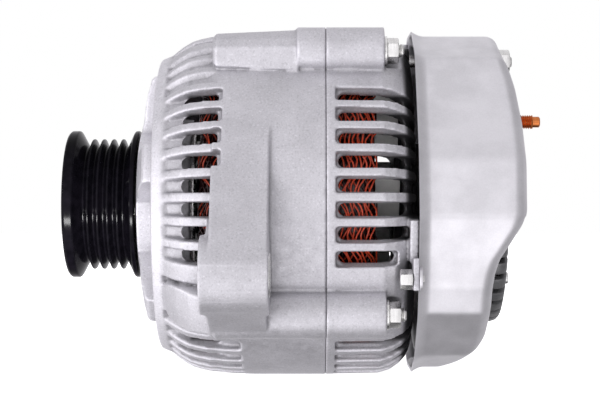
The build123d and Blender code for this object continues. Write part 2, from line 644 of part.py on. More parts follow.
def socket_block(inset, y0, y1):
    """Block of the socket section, pulled in by inset."""
    return block(SOCKET_X0 + inset, SOCKET_X1 - inset, y0, y1,
                 SOCKET_Z0 + inset, SOCKET_Z1 - inset)


def connector_socket():
    """Socket open towards +Y, with three blades."""
    socket = socket_block(0.0, 43.0, 70.0)
    socket = socket - socket_block(SOCKET_WALL, 54.0, 71.0)
    for k in range(3):
        socket += block(127.6, 128.4, 50.0, 67.0, 9.6 + 4.6 * k, 12.4 + 4.6 * k)
    return socket


save("negative_heat_sink", negative_heat_sink())
save("positive_heat_sink", positive_heat_sink())
save_group("rectifier_diodes",
           [diode(113.4, 119.6, y, z) for y, z in NEG_DIODES]
           + [diode(117.8, 124.0, y, z) for y, z in POS_DIODES])
save_group("rectifier_spacers", [tube(3.6, SPACER_BORE_R, NEG_X1, POS_X0, y, z)
                                 for y, z in SPACERS])
save("rectifier_terminal_block", rectifier_terminal_block())
save("voltage_regulator", voltage_regulator())
save("connector_socket", connector_socket())

# --- rear cover ------------------------------------------------------------
# (y, z) of the +Y half, mirrored for the other side
HALF_OUTLINE = [(14.0, 61.0), (34.0, 51.4), (57.5, 17.0), (61.8, -4.2),
                (55.5, -28.0), (50.5, -37.5), (31.0, -53.2), (14.0, -59.2)]
OUTLINE = [(-y, z) for y, z in HALF_OUTLINE] + HALF_OUTLINE[::-1]
# (x, z) side view
SIDE = [(110.0, 70.0), (141.2, 70.0), (142.6, 60.0), (143.6, 53.5), (146.2, 42.4),
        (147.6, 30.0), (148.0, 14.0), (147.8, -2.0), (146.5, -7.4), (142.2, -14.6),
        (139.0, -19.6), (137.4, -25.0), (136.8, -31.0), (136.6, -42.0),
        (136.0, -48.6), (134.0, -53.0), (130.6, -56.6), (126.0, -59.0),
        (118.0, -70.0), (110.0, -70.0)]
# rounded rim of the vent cap: offsets (x, r) from its rear corner
CAP_RIM = [(-3.2, 0.0), (-1.3, -0.6), (-0.4, -1.6), (0.0, -3.4)]
CAP_SCREWS = [(-20.0, -26.5), (20.0, -26.5)]


def cover_block(inset):
    """Cover volume, pulled in by inset."""
    face = yz_face(OUTLINE, COVER_X0)
    side = xz_face(SIDE, -80)
    if inset:
        face = offset(face, -inset, kind=Kind.INTERSECTION)
        side = offset(side, -inset, kind=Kind.INTERSECTION)
    body = extrude(face, amount=60, dir=(1, 0, 0))
    cut = extrude(side, amount=160, dir=(0, 1, 0))
    cut += block(105.0, 114.0, -80, 80, -70, 70)
    body = body & cut
    long_edges = body.edges().filter_by(Axis.X).filter_by(lambda e: e.length > 10)
    return fillet(long_edges, COVER_CORNER_R - inset)


def grown(distance, x):
    """Cover outline moved outwards by distance, at x."""
    points = []
    for i, (y1, z1) in enumerate(OUTLINE):
        y0, z0 = OUTLINE[i - 1]
        y2, z2 = OUTLINE[(i + 1) % len(OUTLINE)]
        before, after = math.hypot(y1 - y0, z1 - z0), math.hypot(y2 - y1, z2 - z1)
        # normals of the two sides that meet at this corner
        ny0, nz0 = -(z1 - z0) / before, (y1 - y0) / before
        ny1, nz1 = -(z2 - z1) / after, (y2 - y1) / after
        mitre = distance / (1 + ny0 * ny1 + nz0 * nz1)
        points.append((y1 - mitre * (ny0 + ny1), z1 - mitre * (nz0 + nz1)))
    return yz_face(points, x)


def flare(inset):
    """Flared lip volume at the front edge, pulled in by inset."""
    return loft([grown(FLARE_RISE - inset, COVER_X0),
                 grown(-inset, COVER_X0 + FLARE_LENGTH)], ruled=True)


def rear_cover(cover_outer):
    """Stamped sheet shell."""
    tab = cyl(4.2, COVER_X0, COVER_X0 + COVER_T, FLANGE_BOLT_Y, FLANGE_BOLT_Z)
    cover = (cover_outer + flare(0.0) + tab) - cover_block(COVER_T) - flare(COVER_T)
    cover -= cyl(1.7, 110, 116, FLANGE_BOLT_Y, FLANGE_BOLT_Z)
    # opening under the vent cap
    cover -= cyl(CAP_R - 1.4, 134.0, 150.0) & block(134, 150, -80, 80, -60, -19.5)
    # flat seats for the cover nuts
    for y, z, seat_x0, seat_x1, seat_r in COVER_STUDS:
        cover += cyl(seat_r, seat_x0, seat_x1, y, z)
        cover -= cyl(seat_r + 0.4, seat_x1, 150.0, y, z)
    cover -= [cyl(STUD_R + 0.3, 130, 150, y, z) for y, z, *_ in COVER_STUDS]
    cover -= cyl(5.2, 140, 150, BATTERY_Y, BATTERY_Z)
    cover -= socket_block(-0.4, 45.0, 72.0)
    return cover


def cap_drum(x0, inset):
    """Solid drum from x0 with the rounded cap rim, pulled in by inset."""
    r, x1 = CAP_R - inset, CAP_X - inset
    return turned([(x0, 0), (x0, r)] + [(x1 + dx, r + dr) for dx, dr in CAP_RIM]
                  + [(x1, 0)])


def vent_cap(cover_outer):
    """Lower half drum standing on the cover, with slots round its rim."""
    cap = cap_drum(130.0, 0.0) - cover_outer - block(100, 160, -80, 80, -2.0, 80)
    cap = cap - cap_drum(100.0, CAP_T)
    cap -= [Rot(-153.0 + 9.0 * k, 0, 0) * block(137.9, CAP_X + 1.0, CAP_R - 7.0,
                                                CAP_R + 1.0, -1.2, 1.2)
            for k in range(15)]
    cap -= [cyl(1.6, 130, 150, y, z) for y, z in CAP_SCREWS]
    return cap


def cap_screw(y, z):
    """Slotted screw."""
    screw = cyl(1.5, 139.0, CAP_X + 0.1, y, z) + cyl(2.1, CAP_X, CAP_X + 1.7, y, z)
    return screw - block(CAP_X + 1.0, CAP_X + 3, y - 1.6, y + 1.6, z - 0.35, z + 0.35)


COVER_OUTER = cover_block(0)
save_largest("rear_cover", rear_cover(COVER_OUTER))
save_largest("vent_cap", vent_cap(COVER_OUTER))
save_group("vent_cap_screws", [cap_screw(y, z) for y, z in CAP_SCREWS])

# --- cover fasteners and battery stud --------------------------------------
INSULATOR_X1 = 148.6


def cover_nut(y, z, seat_x):
    """M5 nut with a washer under it."""
    nut_x = seat_x + 1.0
    return (tube(5.0, STUD_R, seat_x + 0.1, nut_x, y, z)
            + nut(M5_NUT_AF, nut_x, nut_x + M5_NUT_T, y, z, STUD_R, turn=90))


save_group("cover_studs", [cyl(STUD_R, COVER_STUD_X0, seat_x + 6.0, y, z)
                           for y, z, _, seat_x, _ in COVER_STUDS])
save_group("cover_nuts", [cover_nut(y, z, seat_x) for y, z, _, seat_x, _ in COVER_STUDS])
# the hexagon head keeps a pinhole on its axis
save("flange_bolt", cyl(1.5, 108.8, 112.9, FLANGE_BOLT_Y, FLANGE_BOLT_Z)
     + nut(6.0, 104.8, 109.0, FLANGE_BOLT_Y, FLANGE_BOLT_Z, bore_r=0.01, turn=90))
save("battery_terminal_stud", Pos(0, BATTERY_Y, BATTERY_Z) * turned([
    (119.0, 0), (119.0, 5.0), (121.2, 5.0), (121.2, 2.0), (INSULATOR_X1, 2.0),
    (INSULATOR_X1, 2.5), (154.2, 2.5), (154.5, 1.95), (156.6, 1.95),
    (BATTERY_X1, 1.6), (BATTERY_X1, 0)]))
save("battery_terminal_insulator",
     tube(5.0, 2.1, 125.0, INSULATOR_X1, BATTERY_Y, BATTERY_Z)
     + tube(7.0, 2.1, 124.4, 128.0, BATTERY_Y, BATTERY_Z))
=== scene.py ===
"""Claw-pole alternator with a ribbed belt pulley and a sheet-metal rear cover.

The shaft lies on the X axis: the pulley is at the -X (front) end and the cover
at the +X (rear) end.  Z is up and the camera looks along +Y.  Lengths are in
millimetres unless a comment says metres; Blender and the helper use metres.
"""

import json
import math

import bpy
import bmesh
import numpy as np
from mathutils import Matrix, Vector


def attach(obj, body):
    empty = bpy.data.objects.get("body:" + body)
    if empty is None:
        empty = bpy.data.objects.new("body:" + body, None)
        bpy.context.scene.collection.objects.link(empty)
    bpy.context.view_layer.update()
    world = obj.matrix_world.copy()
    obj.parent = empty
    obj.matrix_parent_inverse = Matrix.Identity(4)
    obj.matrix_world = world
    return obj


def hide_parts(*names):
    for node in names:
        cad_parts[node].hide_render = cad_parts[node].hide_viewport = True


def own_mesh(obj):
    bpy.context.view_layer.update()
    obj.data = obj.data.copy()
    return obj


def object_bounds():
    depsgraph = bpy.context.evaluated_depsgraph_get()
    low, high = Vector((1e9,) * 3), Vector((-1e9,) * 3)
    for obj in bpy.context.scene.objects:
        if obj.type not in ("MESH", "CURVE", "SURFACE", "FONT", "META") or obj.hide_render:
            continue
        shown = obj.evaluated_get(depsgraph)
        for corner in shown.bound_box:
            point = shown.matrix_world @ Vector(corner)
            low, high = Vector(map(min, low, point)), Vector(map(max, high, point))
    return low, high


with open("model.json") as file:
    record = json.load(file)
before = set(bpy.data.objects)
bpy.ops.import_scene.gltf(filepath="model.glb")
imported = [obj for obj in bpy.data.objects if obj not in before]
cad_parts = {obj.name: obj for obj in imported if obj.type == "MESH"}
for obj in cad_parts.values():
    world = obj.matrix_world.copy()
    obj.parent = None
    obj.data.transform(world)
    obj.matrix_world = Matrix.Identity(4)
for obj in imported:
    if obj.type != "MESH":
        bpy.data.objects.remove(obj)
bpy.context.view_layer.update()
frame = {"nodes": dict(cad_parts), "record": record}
MM = 0.001              # metres in one millimetre
rng = np.random.default_rng(11)
scene = bpy.context.scene
coll = scene.collection

# Places shared between sections, mm
BATTERY_STUD = (-20.0, 29.5)            # y, z
# Cover studs: y, z, then their seats: x of base, shoulder and face; base radius
COVER_STUDS = [(3.0, 53.0, 141.0, 143.2, 143.7, 6.4),
               (45.0, -29.2, 134.8, 136.6, 137.0, 6.2)]
STATOR_MID_X = 65.0


# ------------------------------------------------------------------ node trees
def rgba(value):
    """A grey level or an RGB colour as RGBA."""
    if isinstance(value, (int, float)):
        return (value, value, value, 1.0)
    return (*value, 1.0)


class Tree:
    """Builds the nodes of a material or a world."""

    def __init__(self, owner):
        owner.use_nodes = True
        self.tree = owner.node_tree
        self.tree.nodes.clear()

    def node(self, kind):
        return self.tree.nodes.new("ShaderNode" + kind)

    def link(self, source, target):
        self.tree.links.new(source, target)

    def feed(self, target, value):
        """Links an output, or sets a number or colour, on an input."""
        if isinstance(value, bpy.types.NodeSocket):
            self.link(value, target)
        elif target.type == "RGBA":
            target.default_value = rgba(value)
        else:
            target.default_value = value

    def math(self, operation, a, b=0.0):
        node = self.node("Math")
        node.operation = operation
        self.feed(node.inputs[0], a)
        self.feed(node.inputs[1], b)
        return node.outputs[0]

    def mix(self, amount, a, b, mode="MIX"):
        node = self.node("Mix")
        node.data_type = "RGBA"
        node.blend_type = mode
        for index, value in ((0, amount), (6, a), (7, b)):
            self.feed(node.inputs[index], value)
        return node.outputs[2]

    def ramp(self, value, stops):
        """Colour ramp; stops are (position, grey or colour)."""
        node = self.node("ValToRGB")
        elements = node.color_ramp.elements
        elements.remove(elements[0])
        elements[0].position = stops[0][0]
        elements[0].color = rgba(stops[0][1])
        for position, colour in stops[1:]:
            elements.new(position).color = rgba(colour)
        self.link(value, node.inputs[0])
        return node.outputs[0]

    def multiply(self, col, mask, stops, amount=1.0):
        """Multiplies a colour by a ramp over a mask."""
        return self.mix(amount, col, self.ramp(mask, stops), "MULTIPLY")


class Material(Tree):
    """A principled material textured in object space."""

    SOCKETS = {"metallic": "Metallic", "roughness": "Roughness",
               "color": "Base Color", "spec": "Specular IOR Level", "ior": "IOR"}

    def __init__(self, name, textured=True):
        self.material = bpy.data.materials.new(name)
        super().__init__(self.material)
        self.out = self.node("OutputMaterial")
        self.bsdf = self.node("BsdfPrincipled")
        self.link(self.bsdf.outputs[0], self.out.inputs[0])
        if textured:
            self.coord = self.node("TexCoord").outputs["Object"]
        self.normal = None

    def set(self, **values):
        for key, value in values.items():
            self.feed(self.bsdf.inputs[self.SOCKETS[key]], value)

    def noise(self, scale, detail=3.0, rough=0.55, stretch=None):
        """Noise; stretch scales the coordinates along X, Y and Z first."""
        vector = self.coord
        if stretch:
            mapping = self.node("Mapping")
            mapping.inputs["Scale"].default_value = stretch
            self.link(self.coord, mapping.inputs["Vector"])
            vector = mapping.outputs[0]
        node = self.node("TexNoise")
        node.inputs["Scale"].default_value = scale
        node.inputs["Detail"].default_value = detail
        node.inputs["Roughness"].default_value = rough
        self.link(vector, node.inputs["Vector"])
        return node.outputs["Fac"]

    def voronoi(self, scale):
        node = self.node("TexVoronoi")
        node.inputs["Scale"].default_value = scale
        self.link(self.coord, node.inputs["Vector"])
        return node.outputs["Distance"]

    def varied(self, limits, scale, detail):
        """A noisy value between two limits, for roughness."""
        return self.ramp(self.noise(scale=scale, detail=detail),
                         stops=[(0.3, limits[0]), (0.7, limits[1])])

    def bump(self, height, strength, depth):
        """Adds a bump layer on top of the earlier ones; depth in mm."""
        node = self.node("Bump")
        node.inputs["Strength"].default_value = strength
        node.inputs["Distance"].default_value = depth * MM
        self.link(height, node.inputs["Height"])
        if self.normal is not None:
            self.link(self.normal, node.inputs["Normal"])
        self.normal = node.outputs[0]
        self.link(self.normal, self.bsdf.inputs["Normal"])

    def painted_crevice_shade(self, col, reach, darkest):
        """Painted shade: darkens the colour by ambient occlusion where the surface is hemmed
        in within reach, mm.
        """
        node = self.node("AmbientOcclusion")
        node.samples = 6
        node.inputs["Distance"].default_value = reach * MM
        # painted shade: open surface keeps its colour, hemmed-in surface goes towards
        # darkest
        openness = self.math("POWER", node.outputs["AO"], 1.0)
        return self.multiply(col, openness, stops=[(0.0, darkest), (0.85, 1.0)])

    def pointiness(self):
        return self.node("NewGeometry").outputs["Pointiness"]


# ------------------------------------------------------------------ materials
def housing_shade_zones(n, col):
    """Lighter front end; painted shade inside the casting and on its rear end under the
    cover.  The ramps read x in units of 200 mm and distance from the shaft axis in units of
    100 mm."""
    axes = n.node("SeparateXYZ")
    n.link(n.coord, axes.inputs[0])
    along = n.math("MULTIPLY", axes.outputs["X"], 5.0)
    radius = n.math("SQRT", n.math("ADD", n.math("POWER", axes.outputs["Y"], 2.0),
                                   n.math("POWER", axes.outputs["Z"], 2.0)))

    def within(fade_end):
        return n.ramp(n.math("MULTIPLY", radius, 10.0),
                      stops=[(0.575, 1.0), (fade_end, 0.0)])

    def scaled(col, mask, amount, factor):
        return n.mix(n.math("MULTIPLY", mask, amount), col,
                     n.mix(1.0, col, factor, "MULTIPLY"))

    front = n.ramp(along, stops=[(0.114, 1.0), (0.123, 0.0)])
    col = scaled(col, front, amount=1.0, factor=1.24)
    # Painted shade on the inside of the casting, seen through the windows
    inside = n.ramp(along, stops=[(0.160, 0.0), (0.166, 1.0)])
    col = scaled(col, inside, amount=within(0.590), factor=0.16)
    # Painted shade on the rear end of the casting, in the gap under the cover
    rear_gap_shade = n.ramp(along, stops=[(0.534, 0.0), (0.546, 1.0)])
    return scaled(col, rear_gap_shade, amount=within(0.600), factor=0.35)


def cast_metal(name, base, metallic=0.62, rough=(0.40, 0.56), grain=0.30,
               reach=6.5, darkest=0.26, zones=False):
    """Sand-blasted die casting: fine grain, blotches, bright worn edges, painted shade in
    creases and hollows.
    """
    n = Material(name)
    base = np.array(base)
    col = n.ramp(n.noise(scale=70, detail=4, rough=0.6),
                 stops=[(0.30, base * 0.91), (0.52, base),
                        (0.72, np.minimum(base * 1.09, 1.0))])
    col = n.multiply(col, n.noise(scale=1500, detail=2, rough=0.7),
                     stops=[(0.28, 0.80), (0.45, 1.0), (0.58, 1.0), (0.72, 1.22)])
    # Lighter on worn convex edges, darker in creases as painted shade
    col = n.multiply(col, n.pointiness(), amount=0.85,
                     stops=[(0.43, 0.50), (0.485, 0.95), (0.51, 1.0), (0.56, 1.22)])
    # Painted shade in hollows, from ambient occlusion
    col = n.painted_crevice_shade(col, reach, darkest)
    # Lighter front end, painted shade inside the housing and under the cover
    if zones:
        col = housing_shade_zones(n, col)
    n.set(color=col, metallic=metallic,
          roughness=n.varied(rough, scale=420, detail=3))
    n.bump(n.noise(scale=160, detail=3), strength=0.25, depth=0.10)
    n.bump(n.noise(scale=1300, detail=2, rough=0.65), strength=grain, depth=0.09)
    n.bump(n.voronoi(scale=2100), strength=grain * 0.6, depth=0.05)
    return n.material


def sheet_metal(name, base, rough=(0.30, 0.42), metallic=0.7, dents=0.22,
                spec=0.5):
    """Pressed sheet: smooth satin with soft handling blotches and dents."""
    n = Material(name)
    base = np.array(base)
    col = n.ramp(n.noise(scale=70, detail=4, rough=0.58),
                 stops=[(0.38, base * 0.93), (0.50, base),
                        (0.63, np.minimum(base * 1.06, 1))])
    grain = n.noise(scale=1900, detail=2, rough=0.6)
    col = n.multiply(col, grain, stops=[(0.3, 0.965), (0.7, 1.03)])
    # Darker in creases as painted shade, lighter on convex edges
    col = n.multiply(col, n.pointiness(), amount=0.7,
                     stops=[(0.42, 0.62), (0.49, 1.0), (0.52, 1.0), (0.58, 1.12)])
    n.set(color=col, metallic=metallic, spec=spec,
          roughness=n.varied(rough, scale=90, detail=4))
    n.bump(n.noise(scale=34, detail=3, rough=0.6), strength=dents, depth=0.45)
    n.bump(grain, strength=0.12, depth=0.02)
    return n.material


def turned_metal(name, base, rough=(0.18, 0.34)):
    """Machined or plated metal with fine tool marks across X."""
    n = Material(name)
    base = np.array(base)
    marks = n.noise(scale=2600, detail=2, rough=0.6, stretch=(1.0, 0.05, 0.05))
    col = n.ramp(n.noise(scale=260, detail=3), stops=[(0.3, base * 0.86), (0.6, base)])
    col = n.multiply(col, marks, stops=[(0.3, 0.88), (0.7, 1.06)])
    # Darker in creases as painted shade, lighter on convex edges
    col = n.multiply(col, n.pointiness(), amount=0.6,
                     stops=[(0.44, 0.72), (0.5, 1.0), (0.56, 1.2)])
    n.set(color=col, metallic=1.0, roughness=n.varied(rough, scale=500, detail=3))
    n.bump(marks, strength=0.18, depth=0.02)
    return n.material


def black_coat(name):
    """Black coating on turned steel, with faint rings and dust."""
    n = Material(name)
    rings = n.noise(scale=3000, detail=2, rough=0.5, stretch=(1.0, 0.03, 0.03))
    col = n.ramp(n.noise(scale=300, detail=4),
                 stops=[(0.35, (0.0010, 0.0009, 0.0014)),
                        (0.75, (0.0026, 0.0022, 0.0034))])
    edge = n.ramp(n.pointiness(), stops=[(0.52, 0.0), (0.62, 0.02)])
    col = n.mix(0.5, col, edge, "ADD")
    dust = n.ramp(n.voronoi(scale=900), stops=[(0.0, 0.24), (0.05, 0.19), (0.12, 0.16)])
    n.set(color=col, metallic=0.0, roughness=dust, ior=1.13)
    n.bump(rings, strength=0.12, depth=0.015)
    n.bump(n.noise(scale=180, detail=2), strength=0.06, depth=0.05)
    return n.material


def enamel_wire(name, dark, bright):
    """Enamelled magnet wire; its strand value mixes tone differing from strand to strand
    with painted shade on deeper and dimmer wires.
    """
    n = Material(name)
    strand = n.node("Attribute")
    strand.attribute_name = "strand"
    dark, bright = np.array(dark), np.array(bright)
    col = n.ramp(strand.outputs["Fac"],
                 stops=[(0.0, dark * 0.6), (0.45, dark),
                        (0.62, dark * 0.4 + bright * 0.6), (1.0, bright)])
    col = n.multiply(col, n.noise(scale=420, detail=3), stops=[(0.3, 0.7), (0.65, 1.1)])
    n.set(color=col, metallic=0.10, roughness=0.24, spec=0.55)
    n.bump(n.noise(scale=900, detail=2), strength=0.15, depth=0.04)
    return n.material


def plastic(name, base, rough=(0.38, 0.55)):
    """Glass-filled moulding with a fine eroded grain."""
    n = Material(name)
    base = np.array(base)
    col = n.ramp(n.noise(scale=160, detail=4), stops=[(0.3, base * 0.8), (0.7, base * 1.2)])
    n.set(color=col, metallic=0.0, roughness=n.varied(rough, scale=700, detail=2))
    n.bump(n.noise(scale=1700, detail=2), strength=0.25, depth=0.03)
    return n.material


def laminated(name, base):
    """Stack of varnished laminations across X."""
    n = Material(name)
    base = np.array(base)
    layers = n.noise(scale=2000, detail=1, rough=0.4, stretch=(1.0, 0.01, 0.01))
    col = n.ramp(n.noise(scale=120, detail=4), stops=[(0.3, base * 0.7), (0.7, base * 1.25)])
    col = n.multiply(col, layers, stops=[(0.35, 0.55), (0.6, 1.1)])
    n.set(color=col, metallic=0.7, roughness=0.5)
    n.bump(layers, strength=0.5, depth=0.08)
    return n.material


CAST = cast_metal("cast_aluminium_blasted", base=(0.67, 0.66, 0.695), zones=True,
                  grain=0.38)
COVER = sheet_metal("cover_satin_sheet", base=(0.785, 0.775, 0.807))
CAP = cast_metal("vent_cap_grey", base=(0.20, 0.20, 0.205), metallic=0.7,
                 rough=(0.35, 0.5), grain=0.2, reach=3.0, darkest=0.25)
SINK = sheet_metal("heat_sink_mill", base=(0.45, 0.45, 0.46), rough=(0.38, 0.5),
                   dents=0.05)
ZINC = turned_metal("zinc_plate", base=(0.86, 0.855, 0.84))
DARK = turned_metal("oiled_steel", base=(0.16, 0.155, 0.15), rough=(0.3, 0.45))
RACE = turned_metal("ground_bearing_steel", base=(0.62, 0.62, 0.63),
                    rough=(0.12, 0.22))
REAR_FAN = sheet_metal("fan_pressed_steel", base=(0.80, 0.80, 0.775),
                       rough=(0.40, 0.55), metallic=0.25, dents=0.05)
# Near black with little sheen: painted shade for the dark inside behind the front windows,
# not the steel's own colour
FRONT_FAN = sheet_metal("front_fan_painted_shade", base=(0.014, 0.017, 0.014),
                        rough=(0.5, 0.65), metallic=0.0, dents=0.05, spec=0.12)
POLE = cast_metal("forged_pole_iron", base=(0.035, 0.034, 0.033), metallic=0.6,
                  rough=(0.4, 0.6), grain=0.35)
LAMINATIONS = laminated("stator_laminations", base=(0.13, 0.12, 0.12))
BLACK = black_coat("gloss_black_coat")
WIRE = enamel_wire("magnet_wire", dark=(0.030, 0.003, 0.003),
                   bright=(1.0, 0.125, 0.055))
COIL = enamel_wire("field_coil_wire", dark=(0.16, 0.02, 0.01),
                   bright=(0.5, 0.10, 0.04))
COPPER = turned_metal("copper_plate", base=(0.74, 0.24, 0.075), rough=(0.16, 0.30))
BRONZE = turned_metal("slip_ring_bronze", base=(0.72, 0.40, 0.20),
                      rough=(0.12, 0.22))
PLASTIC = plastic("black_moulding", base=(0.022, 0.022, 0.024))
BROWN = plastic("phenolic_brown", base=(0.12, 0.06, 0.025))
CARBON = plastic("brush_carbon", base=(0.035, 0.035, 0.038), rough=(0.45, 0.6))


# ------------------------------------------------------------------ mesh tools
def finish_mesh(obj, mat, smooth_angle=None):
    """Gives the material and smooth shading, sharp beyond an angle in degrees."""
    obj.data.materials.clear()
    obj.data.materials.append(mat)
    obj.data.shade_smooth()
    if smooth_angle is not None:
        obj.data.set_sharp_from_angle(angle=math.radians(smooth_angle))


def new_object(name, verts, faces):
    """Object from vertices in metres."""
    mesh = bpy.data.meshes.new(name)
    mesh.from_pydata([tuple(v) for v in verts], [], faces)
    obj = bpy.data.objects.new(name, mesh)
    coll.objects.link(obj)
    return obj


def make(name, verts, faces, mat, smooth_angle=35.0):
    """Welded object from vertices in mm."""
    faces = [tuple(int(i) for i in face) for face in faces]
    obj = new_object(name, np.asarray(verts, float) * MM, faces)
    mesh = obj.data
    mesh.validate()
    bm = bmesh.new()
    bm.from_mesh(mesh)
    bmesh.ops.remove_doubles(bm, verts=bm.verts, dist=1e-7)
    bmesh.ops.recalc_face_normals(bm, faces=bm.faces)
    bm.to_mesh(mesh)
    bm.free()
    finish_mesh(obj, mat, smooth_angle)
    return obj


def apply_modifiers(obj):
    bpy.context.view_layer.update()
    graph = bpy.context.evaluated_depsgraph_get()
    mesh = bpy.data.meshes.new_from_object(obj.evaluated_get(graph))
    obj.modifiers.clear()
    old = obj.data
    obj.data = mesh
    bpy.data.meshes.remove(old)


def get_points(mesh):
    co = np.empty(len(mesh.vertices) * 3)
    mesh.vertices.foreach_get("co", co)
    return co.reshape(-1, 3)


def set_points(mesh, co):
    mesh.vertices.foreach_set("co", co.ravel())
    mesh.update()


def cad_copy(node, name):
    """A welded, free copy of a CAD node's mesh."""
    source = frame["nodes"][node].data
    obj = new_object(name, get_points(source),
                     [tuple(p.vertices) for p in source.polygons])
    bm = bmesh.new()
    bm.from_mesh(obj.data)
    bmesh.ops.remove_doubles(bm, verts=bm.verts, dist=2e-7)
    bm.to_mesh(obj.data)
    bm.free()
    return obj


def relax(obj, rounds, shrink=0.5, swell=-0.52):
    """Taubin smoothing: each round shrinks, then swells back."""
    mesh = obj.data
    count = len(mesh.vertices)
    co = get_points(mesh)
    edges = np.empty(len(mesh.edges) * 2, np.int64)
    mesh.edges.foreach_get("vertices", edges)
    a, b = edges.reshape(-1, 2).T
    degree = (np.bincount(a, minlength=count)
              + np.bincount(b, minlength=count)).astype(float)
    degree[degree == 0] = 1.0
    for _ in range(rounds):
        for factor in (shrink, swell):
            total = np.empty_like(co)
            for k in range(3):
                total[:, k] = (np.bincount(a, co[b, k], minlength=count)
                               + np.bincount(b, co[a, k], minlength=count))
            co = co + factor * (total / degree[:, None] - co)
    set_points(mesh, co)


def detailed(node, mat, bevel):
    """A CAD piece with its edges broken; bevel width in mm."""
    obj = cad_copy(node, node + "_detail")
    bm = bmesh.new()
    bm.from_mesh(obj.data)
    bmesh.ops.dissolve_limit(bm, angle_limit=math.radians(0.6), verts=bm.verts,
                             edges=bm.edges)
    bm.to_mesh(obj.data)
    bm.free()
    if bevel:
        mod = obj.modifiers.new("edge", "BEVEL")
        mod.width = bevel * MM
        mod.segments = 2
        mod.limit_method = "ANGLE"
        mod.angle_limit = math.radians(32.0)
        mod.use_clamp_overlap = True
        mod.miter_outer = "MITER_SHARP"
        mod.harden_normals = False
        apply_modifiers(obj)
    finish_mesh(obj, mat, 40.0)
    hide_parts(node)
    return obj


def ring_quads(rings, n, start=0):
    """Quads between successive closed rings of n vertices."""
    return [(start + i * n + k, start + i * n + (k + 1) % n,
             start + (i + 1) * n + (k + 1) % n, start + (i + 1) * n + k)
            for i in range(rings - 1) for k in range(n)]


def end_caps(rings, n, start=0):
    """One polygon over the first ring and one over the last."""
    last = start + (rings - 1) * n
    return [tuple(range(start, start + n))[::-1], tuple(range(last, last + n))]


def circle(n):
    return np.linspace(0, 2 * np.pi, n, endpoint=False)


def lathe(name, profile, mat, n=192, smooth_angle=32.0, center=(0.0, 0.0)):
    """Closed (x, r) profile turned about a line along X through center (y, z)."""
    profile = np.asarray(profile, float)
    angle = circle(n)
    verts = np.empty((len(profile), n, 3))
    verts[:, :, 0] = profile[:, 0:1]
    verts[:, :, 1] = center[0] + profile[:, 1:2] * np.cos(angle)
    verts[:, :, 2] = center[1] + profile[:, 1:2] * np.sin(angle)
    total = len(profile) * n
    faces = [tuple(i % total for i in quad)
             for quad in ring_quads(len(profile) + 1, n)]
    return make(name, verts.reshape(-1, 3), faces, mat, smooth_angle)


def corner_arc(start, corner, end, n):
    """n points on a quadratic curve that rounds a corner."""
    return [(1 - s) ** 2 * start + 2 * s * (1 - s) * corner + s * s * end
            for s in np.linspace(0, 1, n)]


def rounded(profile, radius, steps=3):
    """Rounds the corners of a closed (x, r) profile."""
    pts = [np.array(q, float) for q in profile]
    out = []
    for i, c in enumerate(pts):
        a, b = pts[i - 1], pts[(i + 1) % len(pts)]
        len_a, len_b = np.linalg.norm(a - c), np.linalg.norm(b - c)
        t = min(radius, len_a * 0.45, len_b * 0.45)
        out += corner_arc(c + (a - c) / len_a * t, c, c + (b - c) / len_b * t,
                          steps + 1)
    return out


class Wires:
    """Collects round wires into one mesh, with a strand value per vertex."""

    SIDES = 6

    def __init__(self):
        self.verts, self.faces, self.strand, self.count = [], [], [], 0

    def add(self, pts, radius, value):
        n, m = len(pts), self.SIDES
        tangent = np.gradient(pts, axis=0)
        tangent /= np.linalg.norm(tangent, axis=1)[:, None]
        radial = pts * np.array([0.0, 1.0, 1.0])
        radial /= np.linalg.norm(radial, axis=1)[:, None]
        side = np.cross(tangent, radial)
        side /= np.linalg.norm(side, axis=1)[:, None]
        normal = np.cross(side, tangent)
        angle = circle(m)
        ring = (pts[:, None, :]
                + radius * (np.cos(angle)[None, :, None] * side[:, None, :]
                            + np.sin(angle)[None, :, None] * normal[:, None, :]))
        self.verts.append(ring.reshape(-1, 3))
        self.faces += ring_quads(n, m, self.count) + end_caps(n, m, self.count)
        self.strand += np.repeat(np.broadcast_to(value, n), m).tolist()
        self.count += n * m

    def build(self, name, mat):
        obj = new_object(name, np.concatenate(self.verts) * MM, self.faces)
        set_strand(obj, self.strand)
        finish_mesh(obj, mat)
        return obj


def set_strand(obj, values):
    """Stores the value that picks the wire colour."""
    attribute = obj.data.attributes.new("strand", "FLOAT", "POINT")
    attribute.data.foreach_set("value", np.asarray(values, np.float32))


def thread_rows(x0, x1, radius, pitch, n):
    """Vertex rows (x, r) of a helical thread that fades out at both ends."""
    depth, fade = 0.54 * pitch, 0.8 * pitch
    rows = int((x1 - x0) / pitch * 10) + 1
    x, angle = np.meshgrid(np.linspace(x0, x1, rows), circle(n), indexing="ij")
    phase = (x / pitch - angle / (2 * np.pi)) % 1.0
    tooth = np.clip(np.abs(phase - 0.5) * 2 * 1.25 - 0.125, 0, 1)
    end = np.clip(np.minimum(x - x0, x1 - x) / fade, 0, 1)
    return x, radius - depth * tooth * end


